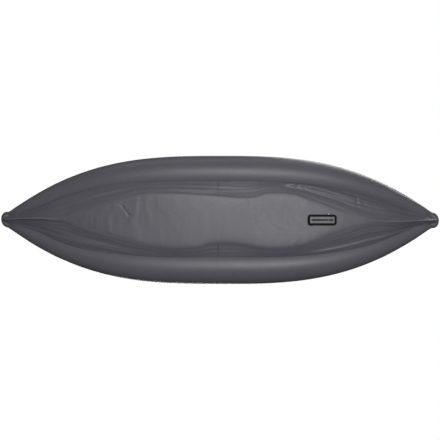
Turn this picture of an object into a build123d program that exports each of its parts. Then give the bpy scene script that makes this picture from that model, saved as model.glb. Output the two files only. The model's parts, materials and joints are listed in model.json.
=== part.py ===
from build123d import *
import math
import os

# Inflatable kayak. Millimetres, +X towards the bow, +Y to port, +Z up.
# The origin is on the ground under the middle of the hull.

# Hull lines
length = 3170.0               # tip to tip
beam = 890.0                  # across the side tubes amidships
tube_diameter = 270.0         # side tube amidships
tube_clearance = 25.0         # under the side tubes amidships, above the ground
sheer_rise = 60.0             # how much higher the tubes' top line is at the tips
tip_half_width = 28.0         # half-breadth that the plan outline tends to at the tips
tip_tube_radius = 20.0        # radius that the side tubes tend to at the tips
tube_parting = 2.0            # between the two tubes where they run side by side
nose_length = 55.0            # moulded nose in front of the tube ends
keel_rise = 300.0             # height of the keel line at the tips
keel_flat = 150.0             # half-length of the level stretch of the keel line
bays = 13                     # loft bays from amidships to each end
baffle_bays = 2               # bays between two baffles inside an air chamber
crease_angle = 20.0           # where the bottom skin meets a tube, in degrees inboard of its lowest line

# Coated fabric
sleeve_wall = 1.0
chamber_wall = 0.5
chamber_end_gap = 4.0          # chamber's end to the tube's end
skin_wall = 1.2
deck_wall = 1.0
fabric_gap = 0.3              # between layers that lie on each other
crease_gap = 0.5              # bottom skin's edge to the tube

# Air floor
floor_half_width = 180.0
floor_half_bays = 9.04         # loft bays from amidships to where the flat ends
floor_thickness = 80.0
floor_wall = 1.2
floor_end_bays = 8.5          # and to the end of the air chamber itself
floor_side_gap = 4.0          # chamber's edge to the bend of the bottom skin
floor_chamfer = 18.0

# Decks and keel strips
deck_start_bays = 9.26        # loft bays from amidships to the deck's open edge
deck_crown = 0.09             # crown of the deck as a share of the half-breadth there
piping_radius = 5.0
keel_strip_bays = 4            # loft bays from the tube end that the strip runs along
keel_strip_share = 0.12        # of the way from the keel's ridge to the crease
keel_ridge = 3.0               # half-width of the ridge
keel_strip_thickness = 2.0

# Inflation valves
valve_flange_radius = 24.0
valve_flange_thickness = 5.0
valve_barrel_radius = 15.5
valve_barrel_depth = 24.0
valve_bore_radius = 12.5
valve_seat_radius = 9.5
valve_seat_thickness = 7.0
valve_lift = 1.5              # flange above the fabric, filled by the seal
valve_travel = 3.0
valve_stem_radius = 2.5
valve_button_radius = 6.0
valve_guide_top = -9.0        # top of the stem guide below the fabric
valve_guide_thickness = 3.0
valve_cap_radius = 21.0
valve_cap_thickness = 4.0
valve_hinge_reach = 28.0      # cap hinge from the valve's axis
valve_tongue_length = 16.0     # of the flange, out to the cap's hinge
valve_tongue_width = 19.0
valve_lug_length = 9.0
valve_lug_width = 3.0
valve_lug_offset = 8.0
valve_lug_height = 6.0         # above the flange
valve_hinge_height = 3.0
valve_hinge_radius = 1.5
valve_arm_width = 12.0
valve_hole_depth = 20.0        # either side of the fabric
valve_nut_radius = 22.0
valve_nut_thickness = 5.0
valve_nut_depth = 5.2
spring_radius = 4.2
spring_wire = 0.45
running_gap = 0.06            # radial, pins and stems that turn or slide
side_valve_cells = 1.826        # cells from amidships towards the stern
side_valve_angle = 72.0       # up from the inboard side of the tube
floor_valve_cells = 1.25

# Fin box under the stern
fin_x = -685.0
fin_frame_length = 196.0
fin_frame_width = 73.0
fin_frame_height = 9.0
fin_frame_wall = 15.0
fin_frame_corner = 20.0
fin_floor = 2.5
fin_track_height = 8.0
fin_slot_length = 150.0
fin_slot_width = 10.0
fin_undercut_width = 18.0
fin_undercut_height = 3.0
fin_groove_offset = 14.0       # a shallow groove along each rail
fin_groove_width = 3.0
fin_groove_depth = 1.5
fin_pin_radius = 1.6
fin_pin_head_radius = 3.2
fin_pin_head_length = 3.0
fin_pin_head_gap = 0.5         # head's inner face from the frame's side
fin_pin_x = 40.0              # lock pin from the box's middle, towards the stern
fin_pin_travel = 45.0

# Carry handles
handle_span = 90.0
handle_strap_width = 20.0
handle_strap_thickness = 3.0
handle_reach = 58.0
handle_pad_length = 44.0
handle_pad_margin = 5.0        # pad beyond the base's width, each side
handle_pad_corner = 12.0
handle_lug_width = 12.0
handle_pin_radius = 3.0
handle_pin_height = 12.0
handle_eye_radius = 6.0
handle_lug_thickness = 4.0
handle_base_width = 30.0
handle_base_thickness = 4.0
grip_width = 26.0
grip_height = 18.0
end_handle_x = 1385.0
side_handle_x = 60.0
side_handle_angle = 65.0      # up from the outboard side of the tube

# Seat
seat_length = 370.0
seat_width = 320.0
seat_thickness = 54.0
seat_middle_x = 5.0
seat_corner = 45.0
seat_edge = 12.0
back_height = 350.0
back_thickness = 45.0
back_recline = 12.0           # degrees from upright as it stands
back_board_thickness = 3.0
hinge_lift = 4.0              # backrest hinge above the cushion
strap_width = 25.0
strap_thickness = 1.6
strap_share = 8.0              # strap's end from the middle of the backrest's side
adjuster_place = 60.0          # from the strap's ring end
adjuster_length = 24.0
adjuster_thickness = 7.0
front_ring_x = 260.0
rear_ring_x = -560.0
ring_angle = 60.0             # up from the inboard side of the tube
ring_radius = 17.0
ring_wire = 2.5
ring_stand_off = 7.5
ring_patch_radius = 34.0
patch_thickness = 1.5
hook_length = 46.0
hook_width = 19.0
hook_wire = 2.2

# Foot brace
foot_track_x = 660.0
foot_track_length = 320.0
foot_track_width = 60.0
foot_track_thickness = 9.0
foot_carriage_length = 60.0
foot_wall = 6.0
foot_slide_gap = 0.4
foot_bar_length = 236.0
foot_bar_thickness = 26.0
foot_bar_height = 78.0
foot_bar_corner = 10.0
foot_bar_lift = 105.0         # middle of the bar above the track
foot_knob_radius = 14.0
foot_knob_height = 12.0
foot_knob_fingers = 6
foot_stud_radius = 4.0
foot_place = 60.0              # carriage's middle from the start of its travel
foot_offset = 14.0             # bar and knob either side of the carriage's middle
foot_post_thickness = 12.0
foot_post_width = 8.0
foot_post_spread = 22.0
foot_post_depth = 22.0         # of the post inside the bar
foot_window_count = 12
foot_window_pitch = 24.0
foot_window_length = 10.0
foot_track_lip = 5.0
foot_track_end = 20.0          # carriage stops this far from the track's end

half_length = length / 2
tube_end = half_length - nose_length
bay = tube_end / bays
stations = [bay * i for i in range(-bays, bays + 1)]
floor_half_length = floor_half_bays * bay
floor_end = floor_end_bays * bay
deck_start = deck_start_bays * bay
baffle_step = baffle_bays * bay
side_valve_x = -side_valve_cells * baffle_step
floor_valve_x = -floor_valve_cells * baffle_step
sides = {"port": 1, "starboard": -1}
ends = {"bow": 1, "stern": -1}


# The hull is cut from panels that run straight from station to station, so a line's values
# between two stations lie on the straight between them. Past the tube ends the line itself counts.
def in_bays(line):
    def along(x):
        x = abs(x)
        if x >= tube_end:
            return line(x)
        low = math.floor(x / bay) * bay
        share = (x - low) / bay
        return line(low) * (1 - share) + line(low + bay) * share
    return along


# Half-breadth of the plan outline: full amidships, drawn in to slim ends.
@in_bays
def half_breadth(x):
    u = min(x / half_length, 1.0)
    return tip_half_width + (beam / 2 - tip_half_width) * (1 - u ** 2.95) ** 1.19


# The tube tapers towards the tips, and never past the centre plane.
@in_bays
def tube_radius(x):
    u = min(x / half_length, 1.0)
    free = tip_tube_radius + (tube_diameter / 2 - tip_tube_radius) * (1 - u ** 2.6) ** 0.9
    return min(free, (half_breadth(x) - tube_parting / 2) / 2)


@in_bays
def tube_top(x):
    return tube_clearance + tube_diameter + sheer_rise * (x / half_length) ** 2.4


def tube_centre(x):
    return half_breadth(x) - tube_radius(x), tube_top(x) - tube_radius(x)


# Keel line: level amidships, a slow rocker, then a steeper rise into the tips.
@in_bays
def keel_height(x):
    s = max(x - keel_flat, 0.0) / (half_length - keel_flat)
    return keel_rise * (0.45 * s ** 2 + 0.55 * s ** 5)


# Half-width of the flat that the air floor presses into the bottom skin.
@in_bays
def flat_half_width(x):
    s = min(x / floor_half_length, 1.0)
    return max(floor_half_width * (1 - s ** 5) ** 2.2, keel_ridge)


# Where the bottom skin meets the port tube.
def crease(x):
    y, z = tube_centre(x)
    r = tube_radius(x) + crease_gap
    a = math.radians(crease_angle)
    return y - r * math.sin(a), z - r * math.cos(a)


# Underside of the bottom skin at a breadth y.
def bottom_height(x, y):
    edge_y, edge_z = crease(x)
    flat = flat_half_width(x)
    keel = keel_height(x)
    if abs(y) <= flat:
        return keel
    return keel + (edge_z - skin_wall - keel) * (abs(y) - flat) / (edge_y - flat)


def deck_height(x, y):
    middle = tube_centre(x)[0]
    crown = deck_crown * half_breadth(x)
    return tube_top(x) + fabric_gap + crown * (1 - (y / middle) ** 2)


def cross_plane(x):
    return Plane(origin=(x, 0, 0), x_dir=(0, 1, 0), z_dir=(1, 0, 0))


def section(x, points):
    return cross_plane(x) * Polygon(*points, align=None)


def span(low, high):
    inner = [x for x in stations if low < x < high]
    return [low] + inner + [high]


# A tube-shaped solid round a side tube's centre line, larger or smaller than the tube by offset.
def tube_solid(side, xs, offset):
    rings = []
    for x in xs:
        y, z = tube_centre(x)
        ring = Pos(side * y, z) * Circle(tube_radius(x) + offset)
        rings.append(cross_plane(x) * ring)
    return loft(rings, ruled=True)


def near_tube(side, x, reach, offset):
    low = max(s for s in stations if s < x - reach)
    high = min(s for s in stations if s > x + reach)
    return tube_solid(side, span(low, high), offset)


# Plane on a side tube's surface: z along the outward normal, x along the tube.
# The angle is measured up from the tube's inboard side, or from its outboard side.
def on_tube(side, x, angle, inboard=True, flip=False):
    y, z = tube_centre(x)
    r = tube_radius(x)
    a = math.radians(angle)
    across = -math.cos(a) if inboard else math.cos(a)
    normal = Vector(0, side * across, math.sin(a))
    origin = Vector(x, side * y, z) + normal * r
    along = (-1 if flip else 1, 0, 0)
    return Plane(origin=origin, x_dir=along, z_dir=normal)


def at(plane, x, y, z):
    return plane * Pos(x, y, z)


# Cylinder along the plane's normal, from low to high.
def post(plane, radius, low, high, x=0.0, y=0.0):
    return at(plane, x, y, (low + high) / 2) * Cylinder(radius, high - low)


# Cylinder along the plane's x or y direction, centred at (x, y, z).
def bar_x(plane, radius, length_x, x=0.0, y=0.0, z=0.0):
    return at(plane, x, y, z) * Rot(0, 90, 0) * Cylinder(radius, length_x)


def bar_y(plane, radius, length_y, x=0.0, y=0.0, z=0.0):
    return at(plane, x, y, z) * Rot(90, 0, 0) * Cylinder(radius, length_y)


def block(plane, size_x, size_y, low, high, x=0.0, y=0.0):
    return at(plane, x, y, (low + high) / 2) * Box(size_x, size_y, high - low)


def group(shapes):
    return Compound(children=[solid for shape in shapes for solid in shape.solids()])


def side_valve_plane(side):
    return on_tube(side, side_valve_x, side_valve_angle)


def floor_top(x):
    return keel_height(x) + skin_wall + fabric_gap + floor_thickness


def floor_slope(x):
    return (keel_height(x + 1) - keel_height(x - 1)) / 2


def floor_valve_plane():
    slope = floor_slope(floor_valve_x)
    normal = Vector(-slope, 0, 1).normalized()
    return Plane(origin=(floor_valve_x, 0, floor_top(floor_valve_x)), x_dir=(1, 0, slope), z_dir=normal)


def valve_hole(plane):
    return post(plane, valve_barrel_radius + fabric_gap, -valve_hole_depth, valve_hole_depth)


# Side tubes: an outer sleeve of coated fabric, open at its ends, over a closed air chamber.
def tube_sleeve(side):
    xs = stations
    shell = tube_solid(side, xs, 0) - tube_solid(side, xs, -sleeve_wall)
    return shell - valve_hole(side_valve_plane(side))


# Baffles stand at every second station, and no end cell is shorter than half of one between them.
def baffles(end):
    last = math.floor(end / baffle_step - 0.5)
    inner = [i * baffle_step for i in range(-last, last + 1)]
    return [-end] + inner + [end]


# An air chamber is a row of closed cells between its baffles.
def cells(cuts, solid, wall):
    made = []
    for low, high in zip(cuts, cuts[1:]):
        made.append(solid(span(low, high), 0) - solid(span(low + wall, high - wall), wall))
    return made


def tube_chamber(side):
    def solid(xs, inset):
        return tube_solid(side, xs, -sleeve_wall - fabric_gap - inset)
    hole = valve_hole(side_valve_plane(side))
    return group(cell - hole for cell in cells(baffles(tube_end - chamber_end_gap), solid, chamber_wall))


# Bottom skin from crease to crease: flat under the air floor, a V towards the tips.
def skin_section(x):
    edge_y, edge_z = crease(x)
    flat = flat_half_width(x)
    keel = keel_height(x)
    upper = [(edge_y, edge_z), (flat, keel + skin_wall), (-flat, keel + skin_wall), (-edge_y, edge_z)]
    lower = [(y, z - skin_wall) for y, z in reversed(upper)]
    return section(x, upper + lower)


def bottom_skin():
    return loft([skin_section(x) for x in stations], ruled=True)


def floor_section(x, inset):
    half = max(flat_half_width(x) - floor_side_gap, 12.0) - inset
    low = keel_height(x) + skin_wall + fabric_gap + inset
    high = floor_top(x) - inset
    cut = min(floor_chamfer, 0.6 * half)
    right = [(half - cut, low), (half, low + cut), (half, high - cut), (half - cut, high)]
    left = [(-y, z) for y, z in reversed(right)]
    return section(x, right + left)


def floor_chamber():
    def solid(xs, inset):
        return loft([floor_section(x, inset) for x in xs], ruled=True)
    hole = valve_hole(floor_valve_plane())
    return group(cell - hole for cell in cells(baffles(floor_end), solid, floor_wall))


# Deck: a crowned sheet from tube top to tube top.
def deck_line(x, lift):
    middle = tube_centre(x)[0]
    ys = [middle * k for k in (1, 0.5, 0, -0.5, -1)]
    return [(y, deck_height(x, y) + lift) for y in ys]


def deck_xs(end):
    xs = span(deck_start, tube_end)
    return xs if end > 0 else [-x for x in reversed(xs)]


def deck(end):
    sheets = [section(x, deck_line(x, deck_wall) + deck_line(x, 0)[::-1]) for x in deck_xs(end)]
    return loft(sheets, ruled=True)


# The space under the deck's upper face, to cut the feet of what stands on it.
def under_deck(end):
    solids = []
    for x in deck_xs(end):
        line = deck_line(x, deck_wall + fabric_gap)
        edge = line[0][0]
        solids.append(section(x, line + [(-edge, line[0][1] - 60), (edge, line[0][1] - 60)]))
    return loft(solids, ruled=True)


# Piping along the deck's open edge, lying on the sheet.
def deck_piping(end):
    x = end * (deck_start + piping_radius + 1)
    lift = deck_wall + piping_radius + fabric_gap
    line = deck_line(x, lift)
    path = cross_plane(x) * ThreePointArc(line[0], (0, line[2][1] + 1.5), line[-1])
    ring = Plane(origin=path @ 0, z_dir=path % 0) * Circle(piping_radius)
    return sweep(ring, path=path)


# Nose: it goes on tapering from the tube ends and rounds off bluntly at the tip.
def nose(end):
    rings = []
    for share in (0, 0.3, 0.55, 0.75, 0.9, 0.97):
        x = tube_end + nose_length * share / 0.97
        size = math.sqrt(1 - share ** 3)
        low, high = keel_height(x), tube_top(x)
        ring = Ellipse(half_breadth(x) * size, (high - low) / 2 * size)
        rings.append(cross_plane(end * x) * Pos(0, (low + high) / 2) * ring)
    return loft(rings)


# Strip glued along the keel's ridge.
def keel_strip(end):
    strips = []
    for x in stations[-keel_strip_bays - 1:] if end > 0 else stations[:keel_strip_bays + 1]:
        edge = keel_ridge + keel_strip_share * (crease(x)[0] - keel_ridge)
        ys = [edge, keel_ridge, -keel_ridge, -edge]
        upper = [(y, bottom_height(x, y) - fabric_gap) for y in ys]
        lower = [(y, z - keel_strip_thickness) for y, z in reversed(upper)]
        strips.append(section(x, upper + lower))
    return loft(strips, ruled=True)


# Fin box plane under the stern: x towards the stern along the keel, z down and outwards.
def fin_plane():
    slope = floor_slope(fin_x)
    normal = Vector(slope, 0, -1).normalized()
    start = Vector(fin_x, 0, keel_height(fin_x)) + normal * 1.6
    return Plane(origin=start, x_dir=(-1, 0, -slope), z_dir=normal)


def rounded(plane, size_x, size_y, corner, low, high):
    return at(plane, 0, 0, low) * extrude(RectangleRounded(size_x, size_y, corner), high - low)


def fin_pin_height():
    return fin_floor + fin_track_height / 2 + 0.3


def fin_frame():
    plane = fin_plane()
    top = fin_floor + fin_frame_height
    outer = rounded(plane, fin_frame_length, fin_frame_width, fin_frame_corner, 0, top)
    outer = chamfer(outer.faces().sort_by(Axis((0, 0, 0), plane.z_dir))[-1].edges(), 3.0)
    inner_length = fin_frame_length - 2 * fin_frame_wall
    inner_width = fin_frame_width - 2 * fin_frame_wall
    corner = fin_frame_corner - fin_frame_wall
    pocket = rounded(plane, inner_length, inner_width, corner, fin_floor, top + 5)
    pin_hole = bar_y(plane, fin_pin_radius + running_gap, fin_frame_width,
                     x=fin_pin_x, y=fin_frame_width / 2, z=fin_pin_height())
    return outer - pocket - pin_hole


def fin_track():
    plane = fin_plane()
    size_x = fin_frame_length - 2 * fin_frame_wall - 2 * fabric_gap
    size_y = fin_frame_width - 2 * fin_frame_wall - 2 * fabric_gap
    corner = fin_frame_corner - fin_frame_wall - fabric_gap
    low = fin_floor
    high = low + fin_track_height
    body = rounded(plane, size_x, size_y, corner, low, high)
    slot = rounded(plane, fin_slot_length, fin_slot_width, fin_slot_width / 2 - 0.1, low - 1, high + 1)
    undercut = rounded(plane, fin_slot_length, fin_undercut_width, fin_undercut_width / 2 - 0.1,
                       low - 1, low + fin_undercut_height)
    pin_hole = bar_y(plane, fin_pin_radius + running_gap, size_y * 2, x=fin_pin_x, z=fin_pin_height())
    body = body - slot - undercut - pin_hole
    for side in (-1, 1):
        body -= rounded(plane * Pos(0, side * fin_groove_offset, 0), fin_slot_length, fin_groove_width,
                        fin_groove_width / 2 - 0.1, high - fin_groove_depth, high + 1)
    return body


def fin_lock_pin():
    plane = fin_plane()
    inner = fin_frame_width / 2 - fin_frame_wall
    outer = fin_frame_width / 2 + fin_pin_head_gap
    shaft = bar_y(plane, fin_pin_radius, inner + outer + 1,
                  x=fin_pin_x, y=(outer + 1 - inner) / 2, z=fin_pin_height())
    head = bar_y(plane, fin_pin_head_radius, fin_pin_head_length,
                 x=fin_pin_x, y=outer + fin_pin_head_length / 2, z=fin_pin_height())
    return shaft + head


# Inflation valve, along the plane's normal: barrel through the fabric, stem guide across the bore.
def valve_body(plane):
    top = valve_lift + valve_flange_thickness
    body = post(plane, valve_flange_radius, valve_lift, top)
    body += post(plane, valve_barrel_radius, -valve_barrel_depth, top)
    body += block(plane, valve_tongue_length, valve_tongue_width, valve_lift, top, x=valve_hinge_reach - 5)
    for side in (-1, 1):
        body += block(plane, valve_lug_length, valve_lug_width, valve_lift, top + valve_lug_height,
                      x=valve_hinge_reach - valve_hinge_radius, y=side * valve_lug_offset)
    body -= post(plane, valve_bore_radius, -valve_barrel_depth + valve_seat_thickness, top + 1)
    body -= post(plane, valve_seat_radius, -valve_barrel_depth - 1, top)
    guide_low = valve_guide_top - valve_guide_thickness
    body += block(plane, 2 * valve_bore_radius + 2, 8, guide_low, valve_guide_top)
    body -= post(plane, valve_stem_radius + running_gap, guide_low - 1, valve_guide_top + 1)
    return body - bar_y(plane, valve_hinge_radius + running_gap, 2 * valve_tongue_width,
                        x=valve_hinge_reach, z=top + valve_hinge_height)


def valve_cap(plane):
    low = valve_lift + valve_flange_thickness + 0.2
    cap = post(plane, valve_cap_radius, low, low + valve_cap_thickness)
    cap += post(plane, valve_bore_radius - 0.3, low - 3, low + 1)
    arm = valve_arm_width
    cap += block(plane, valve_hinge_reach - arm, arm, low + 0.8, low + 3.8, x=(valve_hinge_reach + arm) / 2)
    height = low + valve_hinge_height - 0.2
    cap += bar_y(plane, valve_hinge_radius + 1, arm, x=valve_hinge_reach, z=height)
    return cap + bar_y(plane, valve_hinge_radius, valve_tongue_width, x=valve_hinge_reach, z=height)


def valve_plunger(plane):
    stem = post(plane, valve_stem_radius, -valve_barrel_depth - 1, -1)
    disc = post(plane, valve_seat_radius + 3, -valve_barrel_depth - 3.2, -valve_barrel_depth - 0.2)
    button = post(plane, valve_button_radius, -2, 0)
    return stem + disc + button


def valve_spring(plane):
    low, high = valve_guide_top + spring_wire + 0.1, -2 - spring_wire - 0.1
    turns = 3
    path = Helix(pitch=(high - low) / turns, height=high - low, radius=spring_radius)
    ring = Plane(origin=path @ 0, z_dir=path % 0) * Circle(spring_wire)
    return at(plane, 0, 0, low) * sweep(ring, path=path, is_frenet=True)


def valve_nut(plane):
    low = -valve_nut_depth - valve_nut_thickness
    ring = post(plane, valve_nut_radius, low, -valve_nut_depth)
    return ring - post(plane, valve_barrel_radius + fabric_gap, low - 1, 0)


def valve_seal(plane, fabric):
    ring = post(plane, valve_flange_radius, -4, valve_lift)
    return ring - post(plane, valve_barrel_radius + fabric_gap, -5, 5) - fabric


# Carry handle on a surface: hinge pins along the plane's x, the loop lying along its y.
def handle_base(plane, surface):
    low = -10
    base = Part()
    gap = handle_strap_width / 2 + 1
    for side in (-1, 1):
        x = side * handle_span / 2
        pad_width = handle_base_width + 2 * handle_pad_margin
        outline = RectangleRounded(handle_pad_length, pad_width, handle_pad_corner)
        pad = at(plane, x, 0, low) * extrude(outline, handle_base_thickness - low)
        pad -= surface
        for edge in (-1, 1):
            lug_x = x + edge * (gap + handle_lug_thickness / 2)
            pad += block(plane, handle_lug_thickness, handle_lug_width,
                         handle_base_thickness - 1, handle_pin_height, x=lug_x)
            pad += bar_x(plane, handle_lug_width / 2, handle_lug_thickness, x=lug_x, z=handle_pin_height)
        pad += bar_x(plane, handle_pin_radius, 2 * gap + handle_lug_thickness, x=x, z=handle_pin_height)
        base += pad
    return base


def handle_strap(plane):
    strap = Part()
    half = handle_strap_thickness / 2
    low, high = handle_pin_height - half, handle_pin_height + half
    for side in (-1, 1):
        x = side * handle_span / 2
        strap += bar_x(plane, handle_eye_radius, handle_strap_width, x=x, z=handle_pin_height)
        strap += block(plane, handle_strap_width, handle_reach, low, high, x=x, y=handle_reach / 2)
    strap += block(plane, handle_span, handle_strap_width, low, high,
                   y=handle_reach - handle_strap_width / 2)
    hole = bar_x(plane, handle_pin_radius + running_gap, 2 * handle_span, z=handle_pin_height)
    return strap - hole


def handle_grip(plane):
    size = handle_span - handle_strap_width - 4
    middle = at(plane, -size / 2, handle_reach - handle_strap_width / 2, handle_pin_height)
    outline = Rot(0, 90, 0) * Ellipse(grip_height / 2, grip_width / 2)
    slot = Rot(0, 90, 0) * Rectangle(handle_strap_thickness + 2 * fabric_gap,
                                     handle_strap_width + 2 * fabric_gap)
    return middle * extrude(outline - slot, size)


def end_handle_plane(end):
    x = end * end_handle_x
    slope = end * (deck_height(end_handle_x + 1, 0) - deck_height(end_handle_x - 1, 0)) / 2
    normal = Vector(-slope, 0, 1).normalized()
    origin = (x, 0, deck_height(x, 0) + deck_wall)
    return Plane(origin=origin, x_dir=(0, end, 0), z_dir=normal)


def side_handle_plane(side):
    return on_tube(side, side_handle_x, side_handle_angle, inboard=False, flip=side < 0)


# Seat: a cushion on the air floor and a backrest hinged behind it.
def seat_bottom():
    return floor_top(seat_middle_x - seat_length / 2) + 0.5


def hinge_place():
    return seat_middle_x - seat_length / 2 - 2, seat_bottom() + seat_thickness + hinge_lift


def seat_cushion():
    base = Pos(seat_middle_x, 0, seat_bottom()) * extrude(
        RectangleRounded(seat_length, seat_width, seat_corner), seat_thickness)
    edges = base.edges().group_by(Axis.Z)
    return fillet(edges[-1] + edges[0], seat_edge)


def back_plane():
    x, z = hinge_place()
    return Plane(origin=(x, 0, z), x_dir=(1, 0, 0), z_dir=(0, 0, 1)).rotated((0, -back_recline, 0))


def back_solid(thickness, width, height, low, corner, middle):
    panel = extrude(RectangleRounded(width, height, corner), thickness)
    return back_plane() * Pos(middle - thickness / 2, 0, low + height / 2) * Rot(0, 90, 0) * Rot(0, 0, 90) * panel


def back_middle():
    return -2 - back_thickness / 2


def seat_back():
    panel = back_solid(back_thickness, seat_width, back_height, 4, 60, back_middle())
    normal = Axis((0, 0, 0), back_plane().x_dir)
    faces = panel.faces().sort_by(normal)
    panel = fillet(faces[0].edges() + faces[-1].edges(), seat_edge)
    board = back_solid(back_board_thickness + 2, seat_width - 58, back_height - 58, 33, 32, back_middle())
    return panel - board


def backrest_board():
    return back_solid(back_board_thickness, seat_width - 60, back_height - 60, 34, 30, back_middle())


# Ends of a seat strap: on the backrest's side, and at a ring on the tube.
def strap_top(side, share):
    return back_plane().from_local_coords(
        Vector(back_middle() + share, side * (seat_width / 2 + 1.8), back_height * 0.84))


def ring_place(side, x):
    patch = on_tube(side, x, ring_angle)
    origin = patch.origin + patch.z_dir * ring_stand_off
    share = strap_share if x > 0 else -strap_share
    pull = (strap_top(side, share) - origin).normalized()
    bar = patch.z_dir.cross(pull).normalized()
    return patch, origin, pull, bar


def ring_patch(side, x):
    patch, origin, pull, bar = ring_place(side, x)
    reach = ring_patch_radius + 5
    skin = near_tube(side, x, reach, fabric_gap + patch_thickness)
    pad = (skin & post(patch, ring_patch_radius, -20, 20)) - near_tube(side, x, reach, fabric_gap)
    seat = Plane(origin=origin, x_dir=bar, z_dir=patch.z_dir)
    keeper = block(seat, 12, 10, -ring_stand_off - 1, 6) - near_tube(side, x, reach, fabric_gap)
    return pad + keeper - bar_x(seat, ring_wire + 0.3, 20)


def d_ring(side, x):
    patch, origin, pull, bar = ring_place(side, x)
    flat = Plane(origin=origin, x_dir=bar, z_dir=bar.cross(pull))
    r = ring_radius
    corner = 2 * ring_wire
    path = Wire([
        Line((-r + corner, 0), (r - corner, 0)),
        RadiusArc((r - corner, 0), (r, corner), -corner),
        Line((r, corner), (r, corner + 1)),
        ThreePointArc((r, corner + 1), (0, r + corner + 1), (-r, corner + 1)),
        Line((-r, corner + 1), (-r, corner)),
        RadiusArc((-r, corner), (-r + corner, 0), -corner),
    ])
    ring = Plane(origin=path @ 0, z_dir=path % 0) * Circle(ring_wire)
    return flat * sweep(ring, path=path)


# The D-ring's inner apex from its straight bar.
def ring_reach():
    return ring_radius + 2 * ring_wire + 1


# Near end of a snap hook, inside its ring's apex.
def hook_start(origin, pull):
    return origin + pull * (ring_reach() - 2 * hook_wire - ring_wire - 1)


def snap_hook(side, x):
    patch, origin, pull, bar = ring_place(side, x)
    start = hook_start(origin, pull)
    middle = start + pull * (hook_length / 2)
    flat = Plane(origin=middle, x_dir=pull, z_dir=bar)
    outer = SlotOverall(hook_length + 2 * hook_wire, hook_width + 2 * hook_wire)
    hole = SlotOverall(hook_length - 2 * hook_wire, hook_width - 2 * hook_wire)
    return flat * Pos(0, 0, -hook_wire) * extrude(outer - hole, 2 * hook_wire)


def strap_line(side, x):
    patch, origin, pull, bar = ring_place(side, x)
    low = hook_start(origin, pull) + pull * (hook_length + hook_wire + 1)
    return low, strap_top(side, strap_share if x > 0 else -strap_share)


def strap_plane(side, x):
    low, high = strap_line(side, x)
    along = (high - low).normalized()
    out = Vector(0, side, 0)
    normal = (out - along * out.dot(along)).normalized()
    return Plane(origin=(low + high) * 0.5, x_dir=along, z_dir=normal), (high - low).length


def seat_strap(side, x):
    plane, size = strap_plane(side, x)
    return plane * Box(size, strap_width, strap_thickness)


def strap_adjuster(side, x):
    plane, size = strap_plane(side, x)
    middle = at(plane, adjuster_place - size / 2, 0, 0)
    body = middle * Box(adjuster_length, strap_width + 10, adjuster_thickness)
    return body - middle * Box(2 * adjuster_length, strap_width + 1, strap_thickness + 1)


# Foot brace: a carriage on a straight track that lies on the rising floor.
def foot_plane():
    low_x = foot_track_x - foot_track_length / 2
    high_x = foot_track_x + foot_track_length / 2
    low = Vector(low_x, 0, floor_top(low_x))
    high = Vector(high_x, 0, floor_top(high_x))
    along = (high - low).normalized()
    normal = Vector(-along.Z, 0, along.X)
    return Plane(origin=(low + high) * 0.5 + normal * 0.8, x_dir=along, z_dir=normal)


def foot_track():
    plane = foot_plane()
    body = block(plane, foot_track_length, foot_track_width - 2 * foot_track_lip, 0, foot_track_thickness)
    body += block(plane, foot_track_length, foot_track_width, foot_track_thickness / 2, foot_track_thickness)
    for i in range(foot_window_count):
        x = (i - (foot_window_count - 1) / 2) * foot_window_pitch
        body -= block(plane, foot_window_length, foot_window_pitch,
                      foot_track_thickness / 3, foot_track_thickness + 1, x=x)
    return body


def foot_start():
    return -foot_track_length / 2 + foot_carriage_length / 2 + foot_track_end


def foot_carriage():
    plane = foot_plane()
    x = foot_start() + foot_place
    g = foot_slide_gap
    top = foot_track_thickness + g + foot_wall
    width = foot_track_width + 2 * (g + foot_wall)
    body = block(plane, foot_carriage_length, width, 1.5, top, x=x)
    body -= block(plane, foot_carriage_length + 2, foot_track_width + 2 * g,
                  foot_track_thickness / 2 - g, foot_track_thickness + g, x=x)
    body -= block(plane, foot_carriage_length + 2, foot_track_width - 2 * foot_track_lip + 2 * g,
                  0, foot_track_thickness, x=x)
    bar_low = foot_bar_lift - foot_bar_height / 2
    for side in (-1, 1):
        body += block(plane, foot_post_thickness, foot_post_width, top - 1, bar_low + foot_post_depth,
                      x=x + foot_offset, y=side * foot_post_spread)
    hole = post(plane, foot_stud_radius + running_gap, 0, top + 5, x=x - foot_offset)
    return body - hole


def foot_bar():
    plane = foot_plane()
    x = foot_start() + foot_place + foot_offset
    low = foot_bar_lift - foot_bar_height / 2
    panel = at(plane, x, 0, foot_bar_lift) * Box(foot_bar_thickness, foot_bar_length, foot_bar_height)
    upright = panel.edges().filter_by(Axis((0, 0, 0), plane.z_dir))
    panel = fillet(upright, foot_bar_corner)
    for side in (-1, 1):
        panel -= block(plane, foot_post_thickness + 2 * fabric_gap, foot_post_width + 2 * fabric_gap,
                       low - 1, low + foot_post_depth + fabric_gap, x=x, y=side * foot_post_spread)
    return panel


def foot_knob():
    plane = foot_plane()
    x = foot_start() + foot_place - foot_offset
    top = foot_track_thickness + foot_slide_gap + foot_wall
    high = top + 0.5 + foot_knob_height
    stud = post(plane, foot_stud_radius, foot_track_thickness + 0.5, high - 1, x=x)
    head = post(plane, foot_knob_radius, top + 0.5, high, x=x)
    for i in range(foot_knob_fingers):
        a = 2 * math.pi * i / foot_knob_fingers
        reach = foot_knob_radius + 2
        head -= post(plane, foot_stud_radius, top, high + 1, x=x + reach * math.cos(a), y=reach * math.sin(a))
    return stud + head


def write(name, shape):
    solids = shape.solids()
    shape = solids[0] if len(solids) == 1 else Compound(children=list(solids))
    shape.label = name
    export_step(shape, os.path.join("parts", name + ".step"))


os.makedirs("parts", exist_ok=True)

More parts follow.
